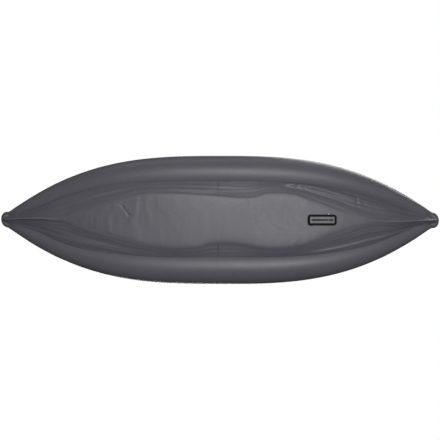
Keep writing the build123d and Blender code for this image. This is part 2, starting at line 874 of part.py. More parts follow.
write("bottom_skin", bottom_skin())
write("floor_air_chamber", floor_chamber())
for name, side in sides.items():
    write(name + "_tube_sleeve", tube_sleeve(side))
    write(name + "_air_chamber", tube_chamber(side))
for name, end in ends.items():
    write(name + "_deck", deck(end))
    write(name + "_deck_piping", deck_piping(end))
    write(name + "_nose_cap", nose(end))
    write(name + "_keel_strip", keel_strip(end))

write("fin_box_frame", fin_frame())
write("fin_track", fin_track())
write("fin_lock_pin", fin_lock_pin())

valves = {name: side_valve_plane(side) for name, side in sides.items()}
valves["floor"] = floor_valve_plane()
fabrics = {name: near_tube(side, side_valve_x, 40, 0.2) for name, side in sides.items()}
fabrics["floor"] = block(valves["floor"], 80, 80, -30, 0.2)
for name, plane in valves.items():
    write(name + "_valve_body", valve_body(plane))
    write(name + "_valve_plunger", valve_plunger(plane))
    write(name + "_valve_spring", valve_spring(plane))
    write(name + "_valve_cap", valve_cap(plane))
write("valve_nuts", group(valve_nut(plane) for plane in valves.values()))
write("valve_seals", group(valve_seal(plane, fabrics[name]) for name, plane in valves.items()))

handles = {name: (end_handle_plane(end), under_deck(end)) for name, end in ends.items()}
for name, side in sides.items():
    handles[name] = (side_handle_plane(side), near_tube(side, side_handle_x, 90, fabric_gap))
for name, (plane, surface) in handles.items():
    write(name + "_handle_base", handle_base(plane, surface))
    write(name + "_handle_strap", handle_strap(plane))
    write(name + "_handle_grip", handle_grip(plane))

rings = [(side, x) for side in sides.values() for x in (front_ring_x, rear_ring_x)]
write("seat_cushion", seat_cushion())
write("seat_back", seat_back())
write("backrest_board", backrest_board())
write("front_seat_straps", group(seat_strap(side, front_ring_x) for side in sides.values()))
write("rear_seat_straps", group(seat_strap(side, rear_ring_x) for side in sides.values()))
write("strap_adjusters", group(strap_adjuster(side, x) for side, x in rings))
write("snap_hooks", group(snap_hook(side, x) for side, x in rings))
write("d_rings", group(d_ring(side, x) for side, x in rings))
write("ring_patches", group(ring_patch(side, x) for side, x in rings))

write("foot_track", foot_track())
write("foot_carriage", foot_carriage())
write("foot_bar", foot_bar())
write("foot_knob", foot_knob())
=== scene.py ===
import json
import math
import bpy
import numpy as np
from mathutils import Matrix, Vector


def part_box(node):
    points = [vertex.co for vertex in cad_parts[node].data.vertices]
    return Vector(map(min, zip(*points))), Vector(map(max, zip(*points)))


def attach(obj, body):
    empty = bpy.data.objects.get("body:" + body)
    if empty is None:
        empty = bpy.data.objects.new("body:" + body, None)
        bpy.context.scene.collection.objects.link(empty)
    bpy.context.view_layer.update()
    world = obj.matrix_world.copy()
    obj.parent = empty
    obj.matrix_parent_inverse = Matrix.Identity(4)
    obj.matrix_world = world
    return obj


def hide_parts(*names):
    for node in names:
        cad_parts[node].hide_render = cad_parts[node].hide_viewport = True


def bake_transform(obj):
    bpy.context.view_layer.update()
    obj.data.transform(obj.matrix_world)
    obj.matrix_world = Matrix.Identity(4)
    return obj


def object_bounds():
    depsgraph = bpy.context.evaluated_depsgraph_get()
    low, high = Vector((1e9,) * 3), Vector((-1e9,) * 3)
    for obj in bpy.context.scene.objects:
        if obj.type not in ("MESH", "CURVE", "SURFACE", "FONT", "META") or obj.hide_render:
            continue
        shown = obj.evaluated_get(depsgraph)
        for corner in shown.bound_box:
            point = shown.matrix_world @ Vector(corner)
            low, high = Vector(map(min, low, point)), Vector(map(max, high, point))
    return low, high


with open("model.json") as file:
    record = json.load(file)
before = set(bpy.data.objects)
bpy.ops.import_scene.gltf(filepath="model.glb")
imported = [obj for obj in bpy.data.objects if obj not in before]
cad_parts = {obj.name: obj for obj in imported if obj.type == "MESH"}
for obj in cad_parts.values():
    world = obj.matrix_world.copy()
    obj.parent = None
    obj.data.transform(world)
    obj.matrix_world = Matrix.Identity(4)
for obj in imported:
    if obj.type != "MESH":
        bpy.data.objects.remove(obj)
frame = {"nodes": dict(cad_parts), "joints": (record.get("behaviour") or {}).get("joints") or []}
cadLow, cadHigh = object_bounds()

# Inflatable kayak: metres, +X to the bow, +Y to port, +Z up.

sides = {"port": 1.0, "starboard": -1.0}
ends = {"bow": 1.0, "stern": -1.0}
joints = {joint["name"]: joint for joint in frame["joints"]}

hull = {
    "halfLength": cadHigh.x,
    "halfBeam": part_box("port_tube_sleeve")[1].y,
    "tubeEnd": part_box("port_tube_sleeve")[1].x,
    "clearance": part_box("port_tube_sleeve")[0].z,
    "tubeRadius": 0.135,
    "sheerRise": 0.060,
    "tipHalfWidth": 0.028,
    "tipTubeRadius": 0.020,
    "parting": 0.001,           # half the gap where the two tubes run side by side
    "keelRise": 0.300,
    "keelFlat": 0.150,
    "fabric": 0.0012,
    "floorThickness": 0.080,
    "sag": 0.075,               # how far the tube's underside bellies outboard, as a share of its radius
    "bladderGap": 0.0016,       # tube's outside to the bladder inside it
    "gap": 0.0003,              # between pieces that lie on each other
}


# cubic through listed (place, value) points; the slope at each comes from its neighbours
def curveThrough(points, at):
    place, value = np.array(points, float).T
    slope = np.gradient(value, place)
    low = np.clip(np.searchsorted(place, at) - 1, 0, len(place) - 2)
    width = place[low + 1] - place[low]
    t = np.clip((at - place[low]) / width, 0.0, 1.0)
    rise = value[low] * (1 + 2 * t) * (1 - t) ** 2 + value[low + 1] * t * t * (3 - 2 * t)
    return rise + width * t * (1 - t) * (slope[low] * (1 - t) - slope[low + 1] * t)


# smooth step: 0 below low, 1 above high, s^2 (3 - 2s) between
def ease(low, high, value):
    s = np.clip((value - low) / (high - low), 0.0, 1.0)
    return s * s * (3 - 2 * s)


# rounded ramp: (d + sqrt(d^2 + r^2)) / 2, which is 0 well below zero and d well above it
def ramp(d, r):
    return (d + np.sqrt(d * d + r * r)) / 2


# bell: exp(-(d / width)^2)
def bell(d, width):
    return np.exp(-(d / width) ** 2)


# value noise: random heights from -1 to 1 on a lattice, blended with s^2 (3 - 2s) both ways
def noise(u, v, seed):
    table = np.random.default_rng(seed).uniform(-1, 1, (128, 128))
    u, v = np.broadcast_arrays(np.asarray(u, float), np.asarray(v, float))
    i, j = np.floor(u).astype(int), np.floor(v).astype(int)
    s, t = u - i, v - j
    s, t = s * s * (3 - 2 * s), t * t * (3 - 2 * t)
    i, j, ii, jj = i % 128, j % 128, (i + 1) % 128, (j + 1) % 128
    low = table[i, j] * (1 - s) + table[ii, j] * s
    high = table[i, jj] * (1 - s) + table[ii, jj] * s
    return low * (1 - t) + high * t


# folds: 1 - |noise| squared gives sharp crests between broad hollows
def folds(u, v, seed):
    return (1 - np.abs(noise(u, v, seed))) ** 3


# A grid of points (rows, columns, 3) as a mesh. round: the columns close into a loop.
# ends: "pole" closes the first and last loop with a fan, "sheet" closes them by joining each point
# of the loop's first half to the one opposite in its second half.
def surface(name, points, round=True, ends=None, marksAndPaintedLight=None):
    rows, columns = points.shape[:2]
    verts = points.reshape(-1, 3)
    wide = columns if round else columns - 1
    i, j = np.meshgrid(np.arange(rows - 1), np.arange(wide), indexing="ij")
    k = (j + 1) % columns
    quads = np.stack([i * columns + j, i * columns + k, (i + 1) * columns + k, (i + 1) * columns + j], -1)
    faces = quads.reshape(-1, 4).tolist()
    along = np.concatenate([[0], np.cumsum(np.linalg.norm(np.diff(points.mean(1), axis=0), axis=1))])
    loop = np.concatenate([points, points[:, :1]], 1)
    steps = np.linalg.norm(np.diff(loop, axis=1), axis=2).max(0)
    across = np.concatenate([[0], np.cumsum(steps)])
    u = np.stack([along[i], along[i], along[i + 1], along[i + 1]], -1).reshape(-1)
    v = np.stack([across[j], across[j + 1], across[j + 1], across[j]], -1).reshape(-1)
    if ends == "pole":
        poles = np.stack([points[0].mean(0), points[-1].mean(0)])
        verts = np.concatenate([verts, poles])
        last = (rows - 1) * columns
        loopIndex = np.arange(columns)
        nextIndex = (loopIndex + 1) % columns
        first = np.stack([np.full(columns, rows * columns), nextIndex, loopIndex], -1)
        final = np.stack([np.full(columns, rows * columns + 1), last + loopIndex, last + nextIndex], -1)
        faces += first.tolist() + final.tolist()
        fan = np.stack([across[:-1], across[1:], across[:-1]], -1).reshape(-1)
        u = np.concatenate([u, np.full(columns * 3, along[0]), np.full(columns * 3, along[-1])])
        v = np.concatenate([v, fan, fan])
    if ends == "sheet":
        half = columns // 2
        a = np.arange(half - 1)
        last = (rows - 1) * columns
        first = np.stack([a + 1, a, columns - 1 - a, columns - 2 - a], -1)
        final = last + first[:, ::-1]
        faces += first.tolist() + final.tolist()
        strip = np.stack([across[a + 1], across[a], across[a], across[a + 1]], -1).reshape(-1)
        u = np.concatenate([u, np.full(len(strip), along[0]), np.full(len(strip), along[-1])])
        v = np.concatenate([v, strip, strip])
    return build(name, verts, faces, np.stack([u, v], -1), marksAndPaintedLight)


# Mesh from points, faces and, for each face corner, a place on the cloth in metres.
# A closed mesh whose volume comes out negative has its faces turned round.
def build(name, verts, faces, cloth=None, marksAndPaintedLight=None):
    mesh = bpy.data.meshes.new(name)
    mesh.from_pydata(np.asarray(verts, float).tolist(), [], faces)
    if cloth is not None:
        layer = mesh.uv_layers.new(name="cloth")
        layer.data.foreach_set("uv", np.asarray(cloth, np.float32).reshape(-1))
    # mark attribute: on some pieces real dark seams and hems, on others painted shade in creases and painted
    # highlights on beads and ridges
    if marksAndPaintedLight is not None:
        mark = mesh.attributes.new("markAndPaintedLight", "FLOAT", "POINT")
        values = np.zeros(len(mesh.vertices), np.float32)
        values[: marksAndPaintedLight.size] = marksAndPaintedLight.reshape(-1)
        mark.data.foreach_set("value", values)
    mesh.polygons.foreach_set("use_smooth", [True] * len(mesh.polygons))
    mesh.calc_loop_triangles()
    corners = np.zeros(len(mesh.loop_triangles) * 3, int)
    mesh.loop_triangles.foreach_get("vertices", corners)
    a, b, c = np.asarray(verts, float)[corners.reshape(-1, 3)].transpose(1, 0, 2)
    if (a * np.cross(b, c)).sum() < 0:
        mesh.flip_normals()
    mesh.update()
    piece = bpy.data.objects.new(name, mesh)
    bpy.context.scene.collection.objects.link(piece)
    return piece


# One mesh of many parts, each (verts, faces)
def joined(name, parts):
    verts, faces, start = [], [], 0
    for partVerts, partFaces in parts:
        verts.append(partVerts)
        faces += [[index + start for index in face] for face in partFaces]
        start += len(partVerts)
    return build(name, np.concatenate(verts), faces)


def finish(piece, body, finishName, *nodes, slot=None):
    piece.data.materials.clear()
    piece.data.materials.append(finishes[finishName])
    if body:
        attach(piece, body)
    if nodes:
        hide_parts(*nodes)
    return piece


# A section (points, 2) carried along a path (rows, 3): side and up are the section's two directions
def carried(path, side, up, section):
    return (path[:, None, :] + section[None, :, :1] * side[:, None, :]
            + section[None, :, 1:] * up[:, None, :])


# superellipse: half sizes times sign(c) |c|^(2/n), an ellipse at n = 2 and squarer above
def roundedSection(halfWide, halfHigh, count, power=5.0):
    angle = np.linspace(0, 2 * np.pi, count, endpoint=False)
    c, s = np.cos(angle), np.sin(angle)
    wide = halfWide * np.sign(c) * np.abs(c) ** (2 / power)
    high = halfHigh * np.sign(s) * np.abs(s) ** (2 / power)
    return np.stack([wide, high], -1)


# unit vectors
def unit(vectors):
    return vectors / np.linalg.norm(vectors, axis=-1, keepdims=True)


def newGroup(name, inputs, outputs):
    tree = bpy.data.node_groups.new(name, "ShaderNodeTree")
    for label, kind, value in inputs:
        socket = tree.interface.new_socket(name=label, in_out="INPUT", socket_type=kind)
        socket.default_value = value
    for label, kind in outputs:
        tree.interface.new_socket(name=label, in_out="OUTPUT", socket_type=kind)
    return tree, tree.nodes.new("NodeGroupInput").outputs, tree.nodes.new("NodeGroupOutput").inputs


def addNode(tree, kind, inputs=None, **settings):
    made = tree.nodes.new("ShaderNode" + kind)
    for key, value in settings.items():
        setattr(made, key, value)
    for key, value in (inputs or {}).items():
        if isinstance(value, bpy.types.NodeSocket):
            tree.links.new(value, made.inputs[key])
        else:
            made.inputs[key].default_value = value
    return made


# Patchy colour: a broad and a fine noise between two colours, and a roughness that follows them
def mottleGroup():
    tree, given, result = newGroup(
        "mottle",
        [("Base", "NodeSocketColor", (0.1, 0.1, 0.1, 1)), ("Patch", "NodeSocketColor", (0.2, 0.2, 0.2, 1)),
         ("Scale", "NodeSocketFloat", 4.0), ("Fine Scale", "NodeSocketFloat", 60.0),
         ("Amount", "NodeSocketFloat", 0.5), ("Smooth", "NodeSocketFloat", 0.4),
         ("Rough", "NodeSocketFloat", 0.5)],
        [("Color", "NodeSocketColor"), ("Roughness", "NodeSocketFloat"), ("Mask", "NodeSocketFloat")])
    place = addNode(tree, "TexCoord").outputs["Object"]
    broad = addNode(tree, "TexNoise", {"Vector": place, "Scale": given["Scale"], "Detail": 4.0})
    fine = addNode(tree, "TexNoise", {"Vector": place, "Scale": given["Fine Scale"], "Detail": 3.0})
    both = addNode(tree, "Math", {0: broad.outputs["Fac"], 1: fine.outputs["Fac"]}, operation="ADD")
    spread = addNode(tree, "MapRange", {"Value": both.outputs[0], "From Min": 0.75, "From Max": 1.3})
    share = addNode(tree, "Math", {0: spread.outputs[0], 1: given["Amount"]}, operation="MULTIPLY")
    colour = addNode(tree, "Mix", {0: share.outputs[0], 6: given["Base"], 7: given["Patch"]},
                     data_type="RGBA")
    rough = addNode(tree, "Mix", {0: spread.outputs[0], 2: given["Smooth"], 3: given["Rough"]},
                    data_type="FLOAT")
    tree.links.new(colour.outputs[2], result["Color"])
    tree.links.new(rough.outputs[0], result["Roughness"])
    tree.links.new(spread.outputs[0], result["Mask"])
    return tree


# Threads over and under: sin(pitch u) sin(pitch v) on the cloth's own places, plus a little fuzz
def threadGroup():
    tree, given, result = newGroup(
        "threads",
        [("Along", "NodeSocketFloat", 2000.0), ("Across", "NodeSocketFloat", 2000.0),
         ("Fuzz", "NodeSocketFloat", 0.3)],
        [("Height", "NodeSocketFloat")])
    place = addNode(tree, "UVMap", uv_map="cloth").outputs["UV"]
    parts = addNode(tree, "SeparateXYZ", {0: place})
    waves = []
    for axis, pitch in (("X", "Along"), ("Y", "Across")):
        turn = addNode(tree, "Math", {0: parts.outputs[axis], 1: given[pitch]}, operation="MULTIPLY")
        waves.append(addNode(tree, "Math", {0: turn.outputs[0]}, operation="SINE").outputs[0])
    weave = addNode(tree, "Math", {0: waves[0], 1: waves[1]}, operation="MULTIPLY")
    fuzz = addNode(tree, "TexNoise", {"Vector": place, "Scale": 900.0, "Detail": 2.0})
    loose = addNode(tree, "Math", {0: fuzz.outputs["Fac"], 1: given["Fuzz"]}, operation="MULTIPLY")
    height = addNode(tree, "Math", {0: weave.outputs[0], 1: loose.outputs[0]}, operation="ADD")
    tree.links.new(height.outputs[0], result["Height"])
    return tree


# Pebbled grain of moulded plastic or rubber
def grainGroup():
    tree, given, result = newGroup(
        "grain", [("Scale", "NodeSocketFloat", 500.0), ("Scratches", "NodeSocketFloat", 0.2)],
        [("Height", "NodeSocketFloat")])
    place = addNode(tree, "TexCoord").outputs["Object"]
    cells = addNode(tree, "TexVoronoi", {"Vector": place, "Scale": given["Scale"]})
    stretched = addNode(tree, "Mapping", {"Vector": place, "Scale": (12, 160, 160)})
    lines = addNode(tree, "TexNoise", {"Vector": stretched.outputs[0], "Scale": 1.0, "Detail": 3.0})
    marks = addNode(tree, "Math", {0: lines.outputs["Fac"], 1: given["Scratches"]}, operation="MULTIPLY")
    height = addNode(tree, "Math", {0: cells.outputs["Distance"], 1: marks.outputs[0]}, operation="ADD")
    tree.links.new(height.outputs[0], result["Height"])
    return tree


# Darkens or lightens where the piece's own mark attribute is set: real dark seams and hems on some pieces,
# painted shade and painted highlights on others
def markAndPaintedLightGroup():
    tree, given, result = newGroup(
        "markAndPaintedLightTone",
        [("Color", "NodeSocketColor", (0.1, 0.1, 0.1, 1)),
         ("Tone", "NodeSocketColor", (0.05, 0.05, 0.05, 1))],
        [("Color", "NodeSocketColor")])
    mark = addNode(tree, "Attribute", attribute_name="markAndPaintedLight")
    colour = addNode(tree, "Mix", {0: mark.outputs["Fac"], 6: given["Color"], 7: given["Tone"]},
                     data_type="RGBA")
    tree.links.new(colour.outputs[2], result["Color"])
    return tree


mottle, threads, grain, markAndPaintedLightTone = mottleGroup(), threadGroup(), grainGroup(), markAndPaintedLightGroup()


def rgb(r, g, b):
    return (r, g, b, 1.0)


# base and patch colours, how patchy, scale of the broad and fine patches, roughness from and to,
# relief as threads or grain with its height in metres, and its slot's name
finishValues = {
    "coatedFabric": {
        "base": rgb(0.117, 0.114, 0.136), "patch": rgb(0.135, 0.132, 0.156), "amount": 0.6, "scale": 2.6,
        "fine": 45.0, "rough": (0.40, 0.48), "threads": (3600.0, 3600.0, 0.3), "height": 0.00003,
        # mark colour: painted shade in the skin's creases, kink and weld grooves; also the dark edges of the
        # tubes' tape
        "markAndPaintedLight": rgb(0.055, 0.054, 0.060), "slot": "hull_fabric"},
    "deckFabric": {
        "base": rgb(0.040, 0.041, 0.047), "patch": rgb(0.056, 0.057, 0.064), "amount": 0.7, "scale": 5.0,
        "fine": 80.0, "rough": (0.50, 0.62), "threads": (2600.0, 2600.0, 0.4), "height": 0.00012,
        "markAndPaintedLight": rgb(0.020, 0.020, 0.023), "slot": "deck_fabric"},
    "floorFabric": {
        "base": rgb(0.225, 0.225, 0.235), "patch": rgb(0.262, 0.262, 0.272), "amount": 0.6, "scale": 4.0,
        "fine": 70.0, "rough": (0.48, 0.60), "threads": (900.0, 900.0, 0.2), "height": 0.00025,
        "markAndPaintedLight": rgb(0.050, 0.050, 0.056), "slot": "floor_fabric"},
    "seatFabric": {
        "base": rgb(0.030, 0.031, 0.035), "patch": rgb(0.045, 0.046, 0.051), "amount": 0.8, "scale": 9.0,
        "fine": 120.0, "rough": (0.72, 0.86), "sheen": 0.25, "height": 0.00020, "grain": (1100.0, 0.3),
        "slot": "seat_fabric"},
    "rubber": {
        "base": rgb(0.055, 0.055, 0.062), "patch": rgb(0.072, 0.072, 0.080), "amount": 0.6, "scale": 9.0,
        "fine": 90.0, "rough": (0.50, 0.62), "grain": (420.0, 0.3),
        "height": 0.00008, "slot": "moulded_rubber"},
    "noseRubber": {
        "base": rgb(0.108, 0.105, 0.125), "patch": rgb(0.126, 0.123, 0.145), "amount": 0.6, "scale": 9.0,
        "fine": 90.0, "rough": (0.42, 0.52), "grain": (420.0, 0.2), "height": 0.00005,
        # mark colour, lighter than the rubber: painted highlight along the nose beads and the keel strips'
        # crest
        "markAndPaintedLight": rgb(0.290, 0.285, 0.315), "slot": "moulded_rubber"},
    "blackPlastic": {
        "base": rgb(0.012, 0.012, 0.013), "patch": rgb(0.022, 0.022, 0.024), "amount": 0.6, "scale": 14.0,
        "fine": 150.0, "rough": (0.36, 0.48), "grain": (900.0, 0.5), "height": 0.00006, "gloss": 0.22,
        "slot": "black_plastic"},
    "finFrame": {
        "base": rgb(0.004, 0.004, 0.005), "patch": rgb(0.007, 0.007, 0.008), "amount": 0.6, "scale": 14.0,
        "fine": 150.0, "rough": (0.40, 0.52), "grain": (900.0, 0.3), "height": 0.00004, "gloss": 0.06,
        "slot": "black_plastic"},
    "finTrack": {
        "base": rgb(0.120, 0.118, 0.128), "patch": rgb(0.150, 0.148, 0.158), "amount": 0.6, "scale": 18.0,
        "fine": 160.0, "rough": (0.36, 0.48), "grain": (900.0, 0.5),
        "height": 0.00005, "slot": "grey_plastic"},
    "greyPlastic": {
        "base": rgb(0.185, 0.183, 0.195), "patch": rgb(0.225, 0.223, 0.235), "amount": 0.6, "scale": 18.0,
        "fine": 160.0, "rough": (0.34, 0.46), "grain": (900.0, 0.5),
        "height": 0.00005, "slot": "grey_plastic"},
    "webbing": {
        "base": rgb(0.018, 0.018, 0.020), "patch": rgb(0.032, 0.032, 0.035), "amount": 0.7, "scale": 22.0,
        "fine": 300.0, "rough": (0.62, 0.78), "threads": (4200.0, 2400.0, 0.4), "height": 0.00030,
        "slot": "webbing"},
    "thread": {
        "base": rgb(0.155, 0.155, 0.165), "patch": rgb(0.200, 0.200, 0.210), "amount": 0.7, "scale": 40.0,
        "fine": 400.0, "rough": (0.55, 0.70), "grain": (2500.0, 0.2),
        "height": 0.00004, "slot": "webbing"},
    "steel": {
        "base": rgb(0.56, 0.56, 0.57), "patch": rgb(0.47, 0.47, 0.48), "amount": 0.6, "scale": 30.0,
        "fine": 300.0, "rough": (0.20, 0.32), "grain": (1200.0, 0.8), "height": 0.00002, "metal": 1.0,
        "slot": "steel"},
    "chamberFilm": {
        "base": rgb(0.34, 0.34, 0.36), "patch": rgb(0.42, 0.42, 0.44), "amount": 0.5, "scale": 5.0,
        "fine": 60.0, "rough": (0.30, 0.42), "grain": (300.0, 0.2),
        "height": 0.00005, "slot": "chamber_film"},
    "board": {
        "base": rgb(0.24, 0.21, 0.17), "patch": rgb(0.30, 0.27, 0.22), "amount": 0.7, "scale": 12.0,
        "fine": 120.0, "rough": (0.55, 0.70), "grain": (500.0, 0.6),
        "height": 0.00010, "slot": "board"},
}


def makeFinish(name, values):
    material = bpy.data.materials.new(name)
    material.use_nodes = True
    tree = material.node_tree
    shader = tree.nodes["Principled BSDF"]
    patches = addNode(tree, "Group", node_tree=mottle)
    smooth, rough = values["rough"]
    settings = {"Base": values["base"], "Patch": values["patch"], "Scale": values["scale"], "Rough": rough,
                "Fine Scale": values["fine"], "Amount": values["amount"], "Smooth": smooth}
    for key, value in settings.items():
        patches.inputs[key].default_value = value
    colour = patches.outputs["Color"]
    # mark colour: real dark seams and hems on some pieces, painted shade and painted highlights on others
    if "markAndPaintedLight" in values:
        tone = addNode(tree, "Group", node_tree=markAndPaintedLightTone)
        tone.inputs["Tone"].default_value = values["markAndPaintedLight"]
        tree.links.new(colour, tone.inputs["Color"])
        colour = tone.outputs["Color"]
    tree.links.new(colour, shader.inputs["Base Color"])
    tree.links.new(patches.outputs["Roughness"], shader.inputs["Roughness"])
    if "threads" in values:
        relief = addNode(tree, "Group", node_tree=threads)
        for key, value in zip(("Along", "Across", "Fuzz"), values["threads"]):
            relief.inputs[key].default_value = value
    else:
        relief = addNode(tree, "Group", node_tree=grain)
        for key, value in zip(("Scale", "Scratches"), values["grain"]):
            relief.inputs[key].default_value = value
    bump = addNode(tree, "Bump", {"Height": relief.outputs["Height"], "Distance": values["height"]})
    tree.links.new(bump.outputs["Normal"], shader.inputs["Normal"])
    shader.inputs["Metallic"].default_value = values.get("metal", 0.0)
    shader.inputs["Specular IOR Level"].default_value = values.get("gloss", 0.5)
    shader.inputs["Sheen Weight"].default_value = values.get("sheen", 0.0)
    return material


finishes = {name: makeFinish(name, values) for name, values in finishValues.items()}
print("finishes made:", len(finishes))


def towardsTip(x):
    return np.clip(np.abs(x) / hull["halfLength"], 0.0, 1.0)


# tip + (beam / 2 - tip) (1 - u^2.95)^1.19
def halfBreadth(x):
    full = hull["halfBeam"] - hull["tipHalfWidth"]
    return hull["tipHalfWidth"] + full * (1 - towardsTip(x) ** 2.95) ** 1.19


# tip + (radius - tip) (1 - u^2.6)^0.9, eased into half the half-breadth where the tubes meet
def tubeRadius(x):
    swell = hull["tubeRadius"] - hull["tipTubeRadius"]
    free = hull["tipTubeRadius"] + swell * (1 - towardsTip(x) ** 2.6) ** 0.9
    limit = (halfBreadth(x) - hull["parting"]) / 2
    sharp = 1200.0
    return -np.logaddexp(-free * sharp, -limit * sharp) / sharp


def tubeTop(x):
    return hull["clearance"] + 2 * hull["tubeRadius"] + hull["sheerRise"] * towardsTip(x) ** 2.4


def tubeCentre(x):
    return halfBreadth(x) - tubeRadius(x), tubeTop(x) - tubeRadius(x)


# Breadth and height of the tube's surface, angle a from its lowest line towards the outside, with r
# its radius there: a circle whose lower half bellies outboard by sag cos^2(a)
def tubeSection(x, a, r):
    y, z = tubeCentre(x)
    belly = hull["sag"] * r * np.maximum(np.cos(a), 0.0) ** 2
    return y + r * np.sin(a) + belly, z - r * np.cos(a)


# rise (0.45 s^2 + 0.55 s^5), s from 0 at the end of the level stretch to 1 at the tip
def keelHeight(x):
    s = np.maximum(np.abs(x) - hull["keelFlat"], 0.0) / (hull["halfLength"] - hull["keelFlat"])
    return hull["keelRise"] * (0.45 * s ** 2 + 0.55 * s ** 5)


# top + 0.09 half-breadth (1 - (y / tube centre)^2)
def deckHeight(x, y):
    middle = tubeCentre(x)[0]
    return tubeTop(x) + hull["gap"] + 0.09 * halfBreadth(x) * (1 - (y / middle) ** 2)


bottom = {
    "rows": 480, "columns": 98,
    # degrees inboard of the tube's lowest line where the skin meets it
    "creasePort": [(-1.585, 4), (-1.51, 6), (-1.46, 10), (-1.40, 31), (-1.15, 37), (-1.0, 34),
                   (-0.8, 28), (-0.5, 24), (0.0, 24), (1.10, 24), (1.36, 32), (1.42, 24), (1.46, 8),
                   (1.51, 5), (1.585, 4)],
    "creaseStarboard": [(-1.585, 4), (-1.51, 5), (-1.46, 8), (-1.40, 28), (-1.34, 33), (-1.1, 27), (-0.6, 27),
                        (0.0, 29), (0.7, 26), (1.08, 24), (1.32, 36), (1.40, 30), (1.46, 8), (1.51, 5),
                        (1.585, 4)],
    # half-width of the flat that the air floor presses out
    "flatPort": [(-1.05, 0.004), (-0.913, 0.036), (-0.80, 0.070), (-0.671, 0.113), (-0.536, 0.160),
                 (-0.469, 0.174), (-0.36, 0.178), (-0.30, 0.174), (-0.235, 0.154), (-0.12, 0.150),
                 (0.0, 0.160), (0.14, 0.170), (0.402, 0.183), (0.536, 0.177), (0.672, 0.141), (0.81, 0.100),
                 (0.948, 0.050), (1.06, 0.006)],
    "flatStarboard": [(-1.05, 0.004), (-0.98, 0.020), (-0.878, 0.061), (-0.773, 0.098), (-0.671, 0.136),
                      (-0.536, 0.176), (-0.40, 0.192), (-0.30, 0.189), (-0.20, 0.170), (-0.12, 0.155),
                      (0.0, 0.149), (0.075, 0.157), (0.134, 0.178), (0.25, 0.186), (0.402, 0.176),
                      (0.536, 0.156), (0.672, 0.116), (0.81, 0.076), (0.948, 0.044), (1.06, 0.006)],
    # sideways wander of the keel's ridge at the two ends
    "ridge": [(-1.585, 0.0), (-1.45, -0.004), (-1.2, -0.009), (-0.95, 0.0), (0.0, 0.0), (0.9, 0.0),
              (1.1, 0.008), (1.3, 0.014), (1.5, 0.006), (1.585, 0.0)],
    "shoulder": 0.011, "crown": 0.0025,
    # depths of the folds
    "tuckPort": 0.0020, "tuckStarboard": 0.0006, "waist": 0.004, "tension": 0.0012, "tensionTips": 0.0040,
    "fine": 0.0008, "fineTips": 0.0009, "slack": 0.0022, "roll": 0.0135, "rollGroove": 0.0040,
    "pucker": 0.0050, "puckerFine": 0.0009, "lowRoll": 0.0042, "sink": 0.011,
    # short wrinkles across the flat: everywhere, forward third, and round the fin box
    "cross": 0.0003, "crossForward": 0.0013, "crossAft": 0.0007,
    "weldPlace": 0.013, "weld": 0.0012,
    # puckers of the port roll: place, width, share of the depth
    "puckers": [(-0.525, 0.010, 1.0), (-0.575, 0.012, 1.0), (-0.935, 0.009, 1.2), (-0.985, 0.012, 0.5)],
    # the kink's lines: start, end, width, share of the depth
    "kink": 0.0024,
    "kinkLines": [((0.676, 0.105), (0.654, 0.092), 0.006, 1.0),
                  ((0.654, 0.092), (0.611, 0.030), 0.0065, 1.0),
                  ((0.611, 0.030), (0.584, 0.028), 0.006, 0.7),
                  ((0.654, 0.109), (0.560, 0.132), 0.0065, 0.8)],
}


def creaseAt(x, port):
    angle = np.radians(np.where(port, curveThrough(bottom["creasePort"], x),
                                curveThrough(bottom["creaseStarboard"], x)))
    return tubeSection(x, -angle, tubeRadius(x) + hull["gap"])


# Distance from a straight crease between two points, fading past its ends
def pinch(x, y, start, end, width):
    a, b = np.array(start), np.array(end)
    along = (b - a) / np.linalg.norm(b - a)
    t = np.clip((x - a[0]) * along[0] + (y - a[1]) * along[1], 0, np.linalg.norm(b - a))
    return bell(np.hypot(x - a[0] - t * along[0], y - a[1] - t * along[1]), width)


